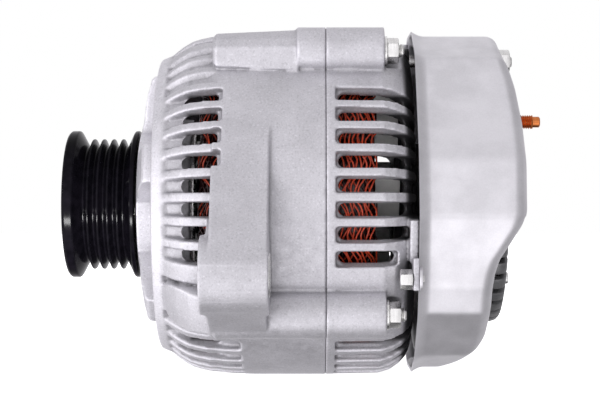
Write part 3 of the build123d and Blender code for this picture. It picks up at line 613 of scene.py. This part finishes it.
def threaded_rod(name, segments, y, z, mat, n=40):
    """Rod along X; segments are (x0, x1, r0, r1, thread pitch or None)."""
    tip_r = 0.02
    ring_x, ring_r = [np.full(n, segments[0][0])], [np.full(n, tip_r)]
    for x0, x1, r0, r1, pitch in segments:
        if pitch:
            rows_x, rows_r = thread_rows(x0, x1, r0, pitch, n)
            ring_x += list(rows_x)
            ring_r += list(rows_r)
        else:
            ring_x += [np.full(n, x0), np.full(n, x1)]
            ring_r += [np.full(n, r0), np.full(n, r1)]
    ring_x.append(np.full(n, segments[-1][1]))
    ring_r.append(np.full(n, tip_r))
    x, r = np.array(ring_x), np.array(ring_r)
    verts = np.stack([x, y + r * np.cos(circle(n)), z + r * np.sin(circle(n))], -1)
    return make(name, verts.reshape(-1, 3),
                ring_quads(len(x), n) + end_caps(len(x), n), mat)


def join(objs, name):
    """Joins plain mesh objects into a new one with the first one's material."""
    verts, faces, start = [], [], 0
    for obj in objs:
        verts += [tuple(v.co) for v in obj.data.vertices]
        faces += [tuple(i + start for i in p.vertices) for p in obj.data.polygons]
        start += len(obj.data.vertices)
    mat = objs[0].data.materials[0]
    for obj in objs:
        bpy.data.objects.remove(obj)
    joined = new_object(name, verts, faces)
    finish_mesh(joined, mat, 35.0)
    return joined


def cut(obj, tools, operation="DIFFERENCE"):
    """Applies boolean tools and removes them."""
    for tool in tools:
        mod = obj.modifiers.new("cut", "BOOLEAN")
        mod.operation = operation
        mod.solver = "EXACT"
        mod.object = tool
        apply_modifiers(obj)
        bpy.data.objects.remove(tool)


def rod_tool(radius, x0, x1, y, z, n=64):
    verts = [(x, y + radius * math.cos(a), z + radius * math.sin(a))
             for x in (x0, x1) for a in circle(n)]
    return make("tool", verts, ring_quads(2, n) + end_caps(2, n), CAST)


def box_tool(x0, x1, y0, y1, z0, z1):
    verts = [(x, y, z) for x in (x0, x1) for y in (y0, y1) for z in (z0, z1)]
    faces = [(0, 1, 3, 2), (4, 6, 7, 5), (0, 4, 5, 1), (2, 3, 7, 6), (0, 2, 6, 4),
             (1, 5, 7, 3)]
    return make("tool", verts, faces, CAST)


def place(obj, body, node):
    """Lets an object move with a body and stand in for a CAD node."""
    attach(obj, body)
    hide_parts(node)


# ------------------------------------------------------------------ castings
VOXEL = 0.55
# Channels along X around the front casting, degrees from -Y towards +Z,
# repeated in each quadrant
CHANNEL_FIRST, CHANNEL_PITCH = 37.5, 7.83
OPEN_CHANNELS = [CHANNEL_FIRST - CHANNEL_PITCH * i - 90.0 * k
                 for k in range(4) for i in range(8)]
BLIND_CHANNELS = [CHANNEL_FIRST + CHANNEL_PITCH * i - 90.0 * k
                  for k in range(4) for i in (1, 2, 3)]
# Outer surface of the front casting: x, r
FRONT_SURFACE = [(20.6, 53.5), (24.2, 54.9), (25.8, 56.3), (28.3, 58.2), (31.4, 60.0),
                 (34.6, 61.0), (38.4, 61.8), (46.0, 62.5), (54.0, 62.8)]


def smoothstep(a, b, x):
    t = np.clip((x - a) / (b - a), 0, 1)
    return t * t * (3 - 2 * t)


def channel_depth(co, angles, half_width, depth, rise, fall):
    """Inward shift of surface points lying in channels along X.
    rise and fall are the x ranges where the channels deepen and run out."""
    x, y, z = co.T
    r = np.hypot(y, z)
    around = np.degrees(np.arctan2(z, -y))
    nearest = np.full(len(co), 1e9)
    for angle in angles:
        nearest = np.minimum(nearest, np.abs((around - angle + 180) % 360 - 180))
    offset = np.radians(nearest) * r
    surface = np.interp(x, *np.transpose(FRONT_SURFACE))
    skin = (r > surface - 3.1) & (r < surface + 0.5)
    return (depth * (1 - smoothstep(half_width * 0.72, half_width * 1.15, offset))
            * skin * smoothstep(*rise, x) * (1 - smoothstep(*fall, x)))


def dress_front(co):
    """Draft of the spider arms, deeper channel ends, blind channels."""
    x, y, z = co.T
    r = np.hypot(y, z)
    draft = 2.6 * smoothstep(28.0, 44.0, r) * (1 - smoothstep(13.5, 20.0, x))
    deep = channel_depth(co, OPEN_CHANNELS, half_width=2.4, depth=1.1,
                         rise=(23.4, 26.4), fall=(33.0, 34.5))
    blind = channel_depth(co, BLIND_CHANNELS, half_width=2.5, depth=1.9,
                          rise=(23.2, 25.6), fall=(38.0, 43.0))
    k = 1 - np.maximum(deep, blind) / np.maximum(r, 1.0)
    return np.stack([x + draft, y * k, z * k], -1)


def casting(node, keep, dress=None):
    """The CAD solid, re-skinned and softened at its edges.
    keep is the share of faces left after thinning."""
    obj = cad_copy(node, node + "_casting")
    mod = obj.modifiers.new("skin", "REMESH")
    mod.mode = "VOXEL"
    mod.voxel_size = VOXEL * MM
    mod.adaptivity = 0.0
    apply_modifiers(obj)
    if dress is not None:
        set_points(obj.data, dress(get_points(obj.data) / MM) * MM)
    relax(obj, rounds=5)
    mod = obj.modifiers.new("thin", "DECIMATE")
    mod.ratio = keep
    apply_modifiers(obj)
    finish_mesh(obj, CAST)
    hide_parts(node)
    return obj


front_casting = casting("front_frame", keep=0.235, dress=dress_front)
rear_casting = casting("rear_frame", keep=0.45)

# ------------------------------------------------------------------ rear cover
# +Y half of the cover outline, top to bottom: y, z, corner radius
COVER_HALF = [(14.0, 61.0, 8.0), (34.0, 51.4, 5.6), (57.5, 17.0, 16.0),
              (61.8, -4.2, 5.4), (55.5, -28.0, 6.8), (50.5, -37.5, 5.4),
              (31.0, -53.2, 11.0), (14.0, -59.2, 8.0)]
COVER_OUTLINE = [(-y, z, r) for y, z, r in COVER_HALF] + COVER_HALF[::-1]
# Rear face of the cover seen from the side, top to bottom: x, z
COVER_REAR = [(142.6, 60.0), (143.6, 53.5), (146.2, 42.4), (147.6, 30.0),
              (148.0, 14.0), (147.8, -2.0), (146.5, -7.4), (142.2, -14.6),
              (139.0, -19.6), (137.4, -25.0), (136.8, -31.0), (136.6, -42.0),
              (136.0, -48.6), (134.0, -53.0), (130.6, -56.6), (126.0, -59.0),
              (122.0, -60.0)]
COVER_X = 111.2                         # front edge
FLARE_LENGTH, FLARE_WIDTH = 4.4, 1.8    # flared front edge
COVER_T = 1.2                           # sheet thickness
RIM_R = 4.7                             # rounding of the rear rim
VENT_CAP_R = 43.5
CAP_OVERLAP = 1.4                       # cap radius beyond the opening in the cover
OPENING_TOP_Z = -19.5                   # straight upper edge of that opening
STUD_HOLE_R = 2.8
BATTERY_HOLE_R = 5.2
SIDE_WINDOW = (120.2, 135.8, 45.0, 72.0, 5.6, 26.4)     # x, y, z ranges, +Y side
TAB_Y, TAB_Z = -59.3, -25.2             # round eyelet at the front edge
TAB_HOLE_R, TAB_R = 1.7, 4.2


def round_outline(outline, n=6):
    """Closed (y, z, radius) polygon with each corner rounded to its radius."""
    pts = [np.array(q[:2], float) for q in outline]
    out = []
    for i, c in enumerate(pts):
        a, b = pts[i - 1], pts[(i + 1) % len(pts)]
        len_a, len_b = np.linalg.norm(a - c), np.linalg.norm(b - c)
        u, v = (a - c) / len_a, (b - c) / len_b
        half = math.acos(np.clip(-(u @ v), -1, 1)) / 2
        t = min(outline[i][2] * math.tan(half), 0.45 * len_a, 0.45 * len_b)
        out += corner_arc(c + u * t, c, c + v * t, n)
    return np.array(out)


def resample(pts, n):
    """n evenly spaced points around a closed polygon."""
    ring = np.vstack([pts, pts[:1]])
    length = np.linalg.norm(np.diff(ring, axis=0), axis=1)
    walked = np.concatenate([[0], np.cumsum(length)])
    at = np.linspace(0, walked[-1], n, endpoint=False)
    return np.stack([np.interp(at, walked, ring[:, 0]),
                     np.interp(at, walked, ring[:, 1])], -1)


def cover_end_x(z):
    """Rear face position at height z: a weighted mean over nearby heights."""
    xs, zs = np.transpose(COVER_REAR[::-1])
    total, weights = 0.0, 0.0
    for k in np.linspace(-2.0, 2.0, 9):
        weight = math.exp(-k * k / 2.0)
        total = total + weight * np.interp(z + k * 0.9, zs, xs)
        weights += weight
    return total / weights


def cover_rings(inset):
    """Cover surface as rings from the front edge over the rear rim to near
    the middle of the rear face; inset moves the whole surface inwards."""
    base = resample(round_outline(COVER_OUTLINE), 480)
    tangent = np.roll(base, -1, 0) - np.roll(base, 1, 0)
    outward = np.stack([tangent[:, 1], -tangent[:, 0]], -1)
    outward /= np.linalg.norm(outward, axis=1)[:, None]
    end = cover_end_x(base[:, 1]) - inset
    rings = []
    for q in np.linspace(0, 1, 9):          # flared front edge
        shift = FLARE_WIDTH * (1 - q) ** 1.7 - inset
        x = np.full(len(base), COVER_X + q * FLARE_LENGTH)
        rings.append(np.column_stack([x, base + outward * shift]))
    r = RIM_R - inset
    wall_x = COVER_X + FLARE_LENGTH
    for q in np.linspace(0.12, 1, 10):      # straight wall
        x = wall_x + (end - r - wall_x) * q
        rings.append(np.column_stack([x, base - outward * inset]))
    for a in np.linspace(0, np.pi / 2, 10)[1:]:     # rounded rear rim
        yz = base - outward * (inset + r * (1 - math.cos(a)))
        x = np.minimum(end - r + r * math.sin(a), cover_end_x(yz[:, 1]) - inset)
        rings.append(np.column_stack([x, yz]))
    rim = rings[-1]
    for q in np.linspace(0, 1, 34)[1:-1]:   # rear face, closing on the axis
        yz = rim[:, 1:] * (1 - q)
        w = np.clip(q / 0.12, 0, 1)
        x = rim[:, 0] * (1 - w) + (cover_end_x(yz[:, 1]) - inset) * w
        rings.append(np.column_stack([x, yz]))
    return rings


def cover_sheet():
    """Closed sheet between the outer and the inner surface."""
    outer, inner = cover_rings(0.0), cover_rings(COVER_T)
    rings, n = len(outer), len(outer[0])
    start = rings * n                       # first vertex of the inner surface
    tip_out, tip_in = 2 * start, 2 * start + 1
    tip_x = cover_end_x(0.0)
    verts = np.concatenate(outer + inner + [[[tip_x, 0, 0]],
                                            [[tip_x - COVER_T, 0, 0]]])
    faces = ring_quads(rings, n) + [q[::-1] for q in ring_quads(rings, n, start)]
    last_out, last_in = start - n, 2 * start - n
    for i in range(n):
        j = (i + 1) % n
        faces.append((last_out + i, last_out + j, tip_out))
        faces.append((last_in + j, last_in + i, tip_in))
        faces.append((j, i, start + i, start + j))
    return make("rear_cover_shell", verts, faces, COVER)


def rear_cover():
    sheet = cover_sheet()
    opening = rod_tool(VENT_CAP_R - CAP_OVERLAP, 133.0, 152.0, 0, 0, 128)
    cut(opening, [box_tool(120, 160, -80, 80, -60, OPENING_TOP_Z)], "INTERSECT")
    tools = [opening]
    tools += [rod_tool(STUD_HOLE_R, 128, 155, y, z) for y, z, *_ in COVER_STUDS]
    tools.append(rod_tool(BATTERY_HOLE_R, 138, 155, *BATTERY_STUD))
    tools.append(box_tool(*SIDE_WINDOW))
    cut(sheet, tools)
    parts = [sheet]
    for y, z, x_base, x_shoulder, x_face, r in COVER_STUDS:
        seat = [(x_base, STUD_HOLE_R), (x_base, r), (x_shoulder, r),
                (x_face, r - 0.6), (x_face, STUD_HOLE_R)]
        parts.append(lathe("seat", seat, COVER, 64, center=(y, z)))
    tab = [(COVER_X, TAB_HOLE_R), (COVER_X, TAB_R), (COVER_X + COVER_T, TAB_R),
           (COVER_X + COVER_T, TAB_HOLE_R)]
    parts.append(lathe("tab", rounded(tab, 0.3), COVER, 64, center=(TAB_Y, TAB_Z)))
    cover = join(parts, "rear_cover_shell")
    finish_mesh(cover, COVER, 42.0)
    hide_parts("rear_cover")
    return cover


cover_skin = rear_cover()
for obj in (front_casting, rear_casting, cover_skin):
    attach(obj, "housing")

# ------------------------------------------------------------------ pulley
GROOVES, GROOVE_PITCH = 5, 3.56         # grooves centred on x = 0
GROOVE_R, RIB_R, PULLEY_R = 21.4, 24.1, 27.1
FLAT = 0.30                             # half width of groove floors and rib tops


def make_pulley():
    ribs = []
    for k in range(GROOVES):
        x = (k - 2) * GROOVE_PITCH
        ribs += [(x - FLAT, GROOVE_R), (x + FLAT, GROOVE_R)]
        if k < GROOVES - 1:
            x += GROOVE_PITCH / 2
            ribs += [(x - FLAT, RIB_R), (x + FLAT, RIB_R)]
    # x, r: bore and front rim, ribs, rear rim
    profile = [(-3.9, 8.5), (-3.9, 19.8), (-12.6, 20.6), (-14.2, 22.0), (-14.2, 26.2),
               (-13.3, PULLEY_R), (-10.7, PULLEY_R), (-10.3, PULLEY_R - 0.4)]
    profile += ribs
    profile += [(9.9, PULLEY_R - 0.4), (10.3, PULLEY_R), (11.3, PULLEY_R),
                (11.6, PULLEY_R - 0.3), (11.6, 8.5)]
    obj = lathe("pulley_coated", rounded(profile, 0.42, 4), BLACK, 256, 40.0)
    place(obj, "rotor", "pulley")
    return obj


pulley = make_pulley()

# ------------------------------------------------------------------ windings
# Layers of hoops in an end turn: radius, hoop count, wire radius
HOOP_LAYERS = ((55.0, 9, 0.31), (54.1, 8, 0.34))
# Solid fill behind the hoops: x range, then the distances from the stator
# middle between which its outer radius drops
END_FILLS = ((36.8, 47.8, 24.7, 29.0), (82.2, 96.8, 27.2, 32.6))
FILL_R, FILL_BORE_R, FILL_DROP = 53.4, 48.3, 4.4
BAR_COUNT, BAR_R0, BAR_R1 = 36, 47.7, 53.3
BAR_HALF_WIDTH, BAR_HALF_LENGTH = 1.15, 18.4


def end_turns(name, x_core, x_tip, glow):
    """Overlapping coil ends: wavy hoops of wire lying over one another.
    glow is the mean strand value of the outer layer; the lower value at the front end is
    painted shade."""
    wires = Wires()
    side = 1.0 if x_tip > x_core else -1.0
    reach = abs(x_tip - x_core)
    th = np.radians(np.linspace(0, 360, 361))
    for layer, (hoop_r, count, wire_r) in enumerate(HOOP_LAYERS):
        for k in range(count):
            # distance from the core, with a wave kept inside the reach
            out = 1.0 + (reach - 1.6) * (k + 0.5 + rng.uniform(-0.15, 0.15)) / count
            phase = rng.uniform(-0.35, 0.35) + 1.9 * layer
            wave = (1.5 * np.sin(th * 20 + phase) + 0.7 * np.sin(th * 9 + 1.3 + phase)
                    + 0.25 * np.sin(th * 47 + 2 * k))
            wave = np.minimum(wave, reach - 0.5 - out)
            wave = np.maximum(wave, 0.5 - out)
            # the last third bends in towards the shaft
            bend = np.clip((out + wave - 0.66 * reach) / (0.34 * reach), 0, 1)
            r = hoop_r - 4.2 * bend ** 1.8 + 0.18 * np.sin(th * 31 + k * 1.7)
            pts = np.stack([x_core + side * (out + wave), r * np.cos(th),
                            r * np.sin(th)], -1)
            # Each deeper layer 0.5 lower: painted shade; the rest varies the tone between
            # and along strands
            value = (glow - 0.50 * layer + rng.uniform(-0.16, 0.12)
                     + 0.16 * np.sin(th * 23 + k * 2.2))
            wires.add(pts, wire_r, np.clip(value, 0, 1))
    place(wires.build(name, WIRE), "housing", "stator_winding")


def end_fill(x0, x1, drop0, drop1):
    xs = np.linspace(x0, x1, 14)
    outer = []
    for i, x in enumerate(xs):
        drop = (abs(x - STATOR_MID_X) - drop0) / (drop1 - drop0)
        drop = min(1.0, max(0.0, drop)) ** 1.8
        outer.append((x, FILL_R - FILL_DROP * drop + 0.12 * math.sin(i * 2.1)))
    inner = [(x, FILL_BORE_R) for x in xs[::-1]]
    return lathe("fill", outer + inner, WIRE, 144)


def slot_bar(index):
    """Straight bar of winding through the stator core."""
    a = math.radians(10 * index + 5)
    c, s = math.cos(a), math.sin(a)
    h = BAR_HALF_WIDTH
    verts = [(x, r * c - w * s, r * s + w * c)
             for x in (STATOR_MID_X - BAR_HALF_LENGTH, STATOR_MID_X + BAR_HALF_LENGTH)
             for r, w in ((BAR_R0, -h), (BAR_R1, -h), (BAR_R1, h), (BAR_R0, h))]
    faces = [(0, 1, 2, 3), (7, 6, 5, 4), (0, 4, 5, 1), (1, 5, 6, 2), (2, 6, 7, 3),
             (3, 7, 4, 0)]
    return make("bar", verts, faces, WIRE)


end_turns("stator_end_turns_front", x_core=47.6, x_tip=36.0, glow=0.50)
end_turns("stator_end_turns_rear", x_core=82.4, x_tip=97.8, glow=1.0)
# Strand value 0 makes the fill and bars near black: painted shade behind and between the
# wires
slots = join([end_fill(*row) for row in END_FILLS]
             + [slot_bar(k) for k in range(BAR_COUNT)], "stator_winding_slots")
set_strand(slots, np.zeros(len(slots.data.vertices)))
place(slots, "housing", "stator_winding")

# ------------------------------------------------------------------ fasteners
THREAD_PITCH = 0.8
SHANK_R, THREAD_R = 2.42, 2.48
THROUGH_STUD_CIRCLE_R = 65.3
THROUGH_STUD_ANGLES = (55, -35, -125, 145)      # degrees from -Y towards +Z


def small_stud(x0, shank_end, thread_start, thread_end, point, y, z):
    """Plain shank, thread and tapered point; point is the x range."""
    return threaded_rod("rod", [(x0, shank_end, SHANK_R, SHANK_R, None),
                                (thread_start, thread_end, THREAD_R, THREAD_R,
                                 THREAD_PITCH),
                                (*point, 2.1, 1.75, None)], y, z, ZINC)


rods = []
for angle in map(math.radians, THROUGH_STUD_ANGLES):
    rods.append(small_stud(46.4, 96.0, 96.2, 106.7, (106.75, 107.25),
                           -THROUGH_STUD_CIRCLE_R * math.cos(angle),
                           THROUGH_STUD_CIRCLE_R * math.sin(angle)))
place(join(rods, "through_studs_threaded"), "housing", "through_studs")

battery_stud = threaded_rod("battery_stud_threaded", [
    (119.0, 121.2, 4.9, 4.9, None), (121.25, 148.6, 2.0, 2.0, None),
    (148.7, 154.3, 2.5, 2.5, THREAD_PITCH), (154.4, 156.6, 1.95, 1.95, None),
    (156.65, 157.0, 1.9, 1.55, None)], *BATTERY_STUD, COPPER, 56)
place(battery_stud, "housing", "battery_terminal_stud")

rods = [small_stud(108.0, 138.0, 138.1, x_face + 5.3, (x_face + 5.35, x_face + 5.9),
                   y, z)
        for y, z, _, _, x_face, _ in COVER_STUDS]
place(join(rods, "cover_studs_threaded"), "housing", "cover_studs")

# ------------------------------------------------------------------ springs
SPRING_TURNS, SPRING_R, SPRING_WIRE_R = 7.5, 1.75, 0.33
SPRING_Z0, SPRING_Z1 = 21.5, 33.1


def brush_spring(which, x_middle):
    """Coil spring about a vertical axis, its turns closer near the ends."""
    s = np.linspace(0, 1, int(SPRING_TURNS * 28))
    ease = s * s * (3 - 2 * s) * 0.25 + s * 0.75
    z = SPRING_Z0 + (SPRING_Z1 - SPRING_Z0) * (0.06 * s + 0.94 * ease)
    a = s * SPRING_TURNS * 2 * np.pi
    pts = np.stack([x_middle + SPRING_R * np.cos(a), SPRING_R * np.sin(a), z], -1)
    tangent = np.gradient(pts, axis=0)
    tangent /= np.linalg.norm(tangent, axis=1)[:, None]
    radial = np.stack([np.cos(a), np.sin(a), np.zeros_like(a)], -1)
    across = np.cross(tangent, radial)
    n, m = len(pts), 8
    around = circle(m)
    ring = (pts[:, None, :]
            + SPRING_WIRE_R * (np.cos(around)[None, :, None] * radial[:, None, :]
                               + np.sin(around)[None, :, None] * across[:, None, :]))
    obj = make(which + "_spring_wire", ring.reshape(-1, 3),
               ring_quads(n, m) + end_caps(n, m), ZINC, 60)
    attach(obj, "housing")
    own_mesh(obj)
    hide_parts(which + "_brush_spring")


brush_spring("inner", x_middle=126.5)
brush_spring("outer", x_middle=134.5)

# ------------------------------------------------------------------ CAD pieces
# Pieces with broken edges: material, bevel width
DETAIL = {
    "pivot_bush": (ZINC, 0.4), "stud_washers": (ZINC, 0.18),
    "stud_nuts": (ZINC, 0.16), "cover_nuts": (ZINC, 0.16),
    "flange_bolt": (ZINC, 0.16), "vent_cap": (CAP, 0.22),
    "vent_cap_screws": (ZINC, 0.15), "pulley_nut": (DARK, 0.25),
    "front_fan": (FRONT_FAN, 0.2), "rear_fan": (REAR_FAN, 0.2),
    "front_claw_pole": (POLE, 0.6), "rear_claw_pole": (POLE, 0.6),
    "negative_heat_sink": (SINK, 0.2), "positive_heat_sink": (SINK, 0.2),
    "rectifier_diodes": (ZINC, 0.2), "rectifier_terminal_block": (PLASTIC, 0.25),
    "voltage_regulator": (SINK, 0.35), "connector_socket": (PLASTIC, 0.5),
    "brush_holder": (PLASTIC, 0.35), "battery_terminal_insulator": (PLASTIC, 0.3),
    "front_bearing_retainer": (ZINC, 0.2), "retainer_screws": (ZINC, 0.12),
    "bearing_collar": (DARK, 0.3), "shaft": (DARK, 0.2),
    "inner_brush": (CARBON, 0.2), "outer_brush": (CARBON, 0.2),
    "rectifier_spacers": (BROWN, 0.2),
}
# Pieces that keep their CAD mesh
PLAIN = {
    "stator_core": LAMINATIONS, "front_bearing_outer_race": RACE,
    "front_bearing_inner_race": RACE, "front_bearing_balls": RACE,
    "front_bearing_cage": DARK, "rear_bearing_sleeve": BROWN,
    "rear_bearing_outer_race": RACE, "rear_bearing_inner_race": RACE,
    "rear_bearing_balls": RACE, "rear_bearing_cage": DARK,
    "coil_bobbin": BROWN, "field_coil": COIL, "slip_ring_insulator": BROWN,
    "slip_rings": BRONZE,
}
REAR_FAN_TURN = math.radians(9.0)   # parks a blade behind the upper windows


def turn_about_shaft(obj, angle):
    c, s = math.cos(angle), math.sin(angle)
    for v in obj.data.vertices:
        x, y, z = v.co
        v.co = (x, y * c - z * s, y * s + z * c)


bodies = frame["record"]["behaviour"]["bodies"]
BODY_OF = {node: body for body, nodes in bodies.items() for node in nodes}
for node, (mat, bevel) in DETAIL.items():
    obj = detailed(node, mat, bevel)
    if node == "rear_fan":
        turn_about_shaft(obj, REAR_FAN_TURN)
    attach(obj, BODY_OF[node])

for node, mat in PLAIN.items():
    obj = frame["nodes"][node]
    if len(obj.material_slots) == 0:
        obj.data.materials.append(mat)
    else:
        for slot in obj.material_slots:
            slot.material = mat

# ------------------------------------------------------------------ stage
FLOOR_HALF, FLOOR_POINTS = 2500, 11
FLOOR_GAP = 0.2         # floor below the lowest point


def floor_material():
    """Pale floor that also glows, so that it stays near white."""
    n = Material("pale_floor", textured=False)
    n.set(color=(0.86, 0.86, 0.865), roughness=0.75)
    glow = n.node("Emission")
    glow.inputs["Color"].default_value = (1, 1, 1, 1)
    glow.inputs["Strength"].default_value = 0.97
    both = n.node("AddShader")
    n.link(n.bsdf.outputs[0], both.inputs[0])
    n.link(glow.outputs[0], both.inputs[1])
    n.link(both.outputs[0], n.out.inputs[0])
    return n.material


def make_floor():
    floor_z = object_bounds()[0][2] * 1000.0 - FLOOR_GAP
    n = FLOOR_POINTS
    line = np.linspace(-FLOOR_HALF, FLOOR_HALF, n)
    x, y = np.meshgrid(line, line, indexing="ij")
    verts = np.stack([x.ravel(), y.ravel(), np.full(x.size, floor_z)], -1)
    faces = [(i * n + j, (i + 1) * n + j, (i + 1) * n + j + 1, i * n + j + 1)
             for i in range(n - 1) for j in range(n - 1)]
    floor = make("floor", verts, faces, floor_material(), 30)
    floor.visible_diffuse = False
    floor.visible_glossy = False
    floor.visible_shadow = False


make_floor()

# ------------------------------------------------------------------ light
# Sky brightness around the X axis: degrees, brightness.
# 0 is towards the camera, 90 straight up, 180 behind.
SKY_MID = [(-180, 0.82), (-150, 0.64), (-125, 0.16), (-95, 0.03), (-75, 0.37),
           (-55, 1.34), (-35, 1.58), (-12, 1.02), (10, 1.24), (40, 0.74),
           (75, 0.86), (105, 0.72), (140, 0.84), (180, 0.82)]
SKY_PULLEY_END = [(-180, 0.49), (-120, 0.62), (-60, 1.80), (0, 1.95), (60, 0.60),
                  (120, 0.49), (180, 0.49)]
SKY_COVER_END = [(-180, 0.62), (-90, 0.27), (0, 0.42), (90, 0.38), (180, 0.62)]
SKY_TOP = 8.0           # brightness that a ramp value of 1 stands for
SECTOR_START = 0.2      # |X| of the direction where an end sector begins
SECTOR_FADE = 0.35      # |X| over which it takes over
SKY_TINT = (0.985, 0.970, 1.0)


def studio_world():
    """Graded sky for the lighting, plain white for the camera."""
    world = bpy.data.worlds.new("studio")
    scene.world = world
    n = Tree(world)
    out = n.node("OutputWorld")
    lit = n.node("Background")
    seen = n.node("Background")
    seen.inputs[0].default_value = (1, 1, 1, 1)
    seen.inputs[1].default_value = 1.0
    axes = n.node("SeparateXYZ")
    n.link(n.node("TexCoord").outputs["Generated"], axes.inputs[0])

    toward_camera = n.math("MULTIPLY", axes.outputs["Y"], -1.0)
    angle = n.math("ARCTAN2", axes.outputs["Z"], toward_camera)
    turn = n.math("ADD", n.math("MULTIPLY", angle, 1 / (2 * math.pi)), 0.5)

    def sky_ramp(stops):
        return n.ramp(turn, [((degrees + 180) / 360.0, brightness / SKY_TOP)
                             for degrees, brightness in stops])

    def sector_weight(x):
        weight = n.math("MULTIPLY", n.math("ADD", x, -SECTOR_START), 1 / SECTOR_FADE)
        return n.math("MINIMUM", n.math("MAXIMUM", weight, 0.0), 1.0)

    x = axes.outputs["X"]
    pulley_end = sector_weight(n.math("MULTIPLY", x, -1.0))
    cover_end = sector_weight(x)
    sky = n.mix(pulley_end, sky_ramp(SKY_MID), sky_ramp(SKY_PULLEY_END))
    sky = n.mix(cover_end, sky, sky_ramp(SKY_COVER_END))
    sky = n.mix(1.0, sky, SKY_TINT, "MULTIPLY")
    n.link(sky, lit.inputs[0])
    lit.inputs[1].default_value = SKY_TOP

    choose = n.node("MixShader")
    n.link(n.node("LightPath").outputs["Is Camera Ray"], choose.inputs[0])
    n.link(lit.outputs[0], choose.inputs[1])
    n.link(seen.outputs[0], choose.inputs[2])
    n.link(choose.outputs[0], out.inputs[0])


STRIP_DISTANCE = 1.5                    # metres from the shaft axis
STRIP_ANGLE = math.radians(-27.0)       # below the horizontal, camera side


def strip_lamp():
    """Slim strip lamp that lights only the black pulley."""
    lamp = bpy.data.lights.new("strip_lamp", "AREA")
    lamp.shape = "RECTANGLE"
    lamp.size = 1.6         # metres
    lamp.size_y = 0.42      # metres
    lamp.energy = 235.0     # watts
    obj = bpy.data.objects.new("strip_lamp", lamp)
    obj.location = (0.0, -STRIP_DISTANCE * math.cos(STRIP_ANGLE),
                    STRIP_DISTANCE * math.sin(STRIP_ANGLE))
    obj.rotation_euler = (math.radians(90.0) + STRIP_ANGLE, 0, 0)
    obj.visible_camera = False
    coll.objects.link(obj)
    receivers = bpy.data.collections.new("strip_receivers")
    receivers.objects.link(pulley)
    obj.light_linking.receiver_collection = receivers


studio_world()
strip_lamp()


# ------------------------------------------------------------------ camera
def make_camera():
    """Level side view along +Y."""
    cam = bpy.data.cameras.new("camera")
    cam.lens = 98.94
    cam.sensor_width = 36.0
    cam.shift_x = -0.0233333333     # share of the frame width
    cam.clip_start = 0.01           # metres
    cam.clip_end = 50.0             # metres
    obj = bpy.data.objects.new("camera", cam)
    obj.location = (0.0759, -0.613, 0.00149)    # metres
    obj.rotation_euler = (math.radians(90), 0, 0)
    coll.objects.link(obj)
    scene.camera = obj


make_camera()
scene.view_settings.view_transform = "Standard"
scene.view_settings.look = "None"
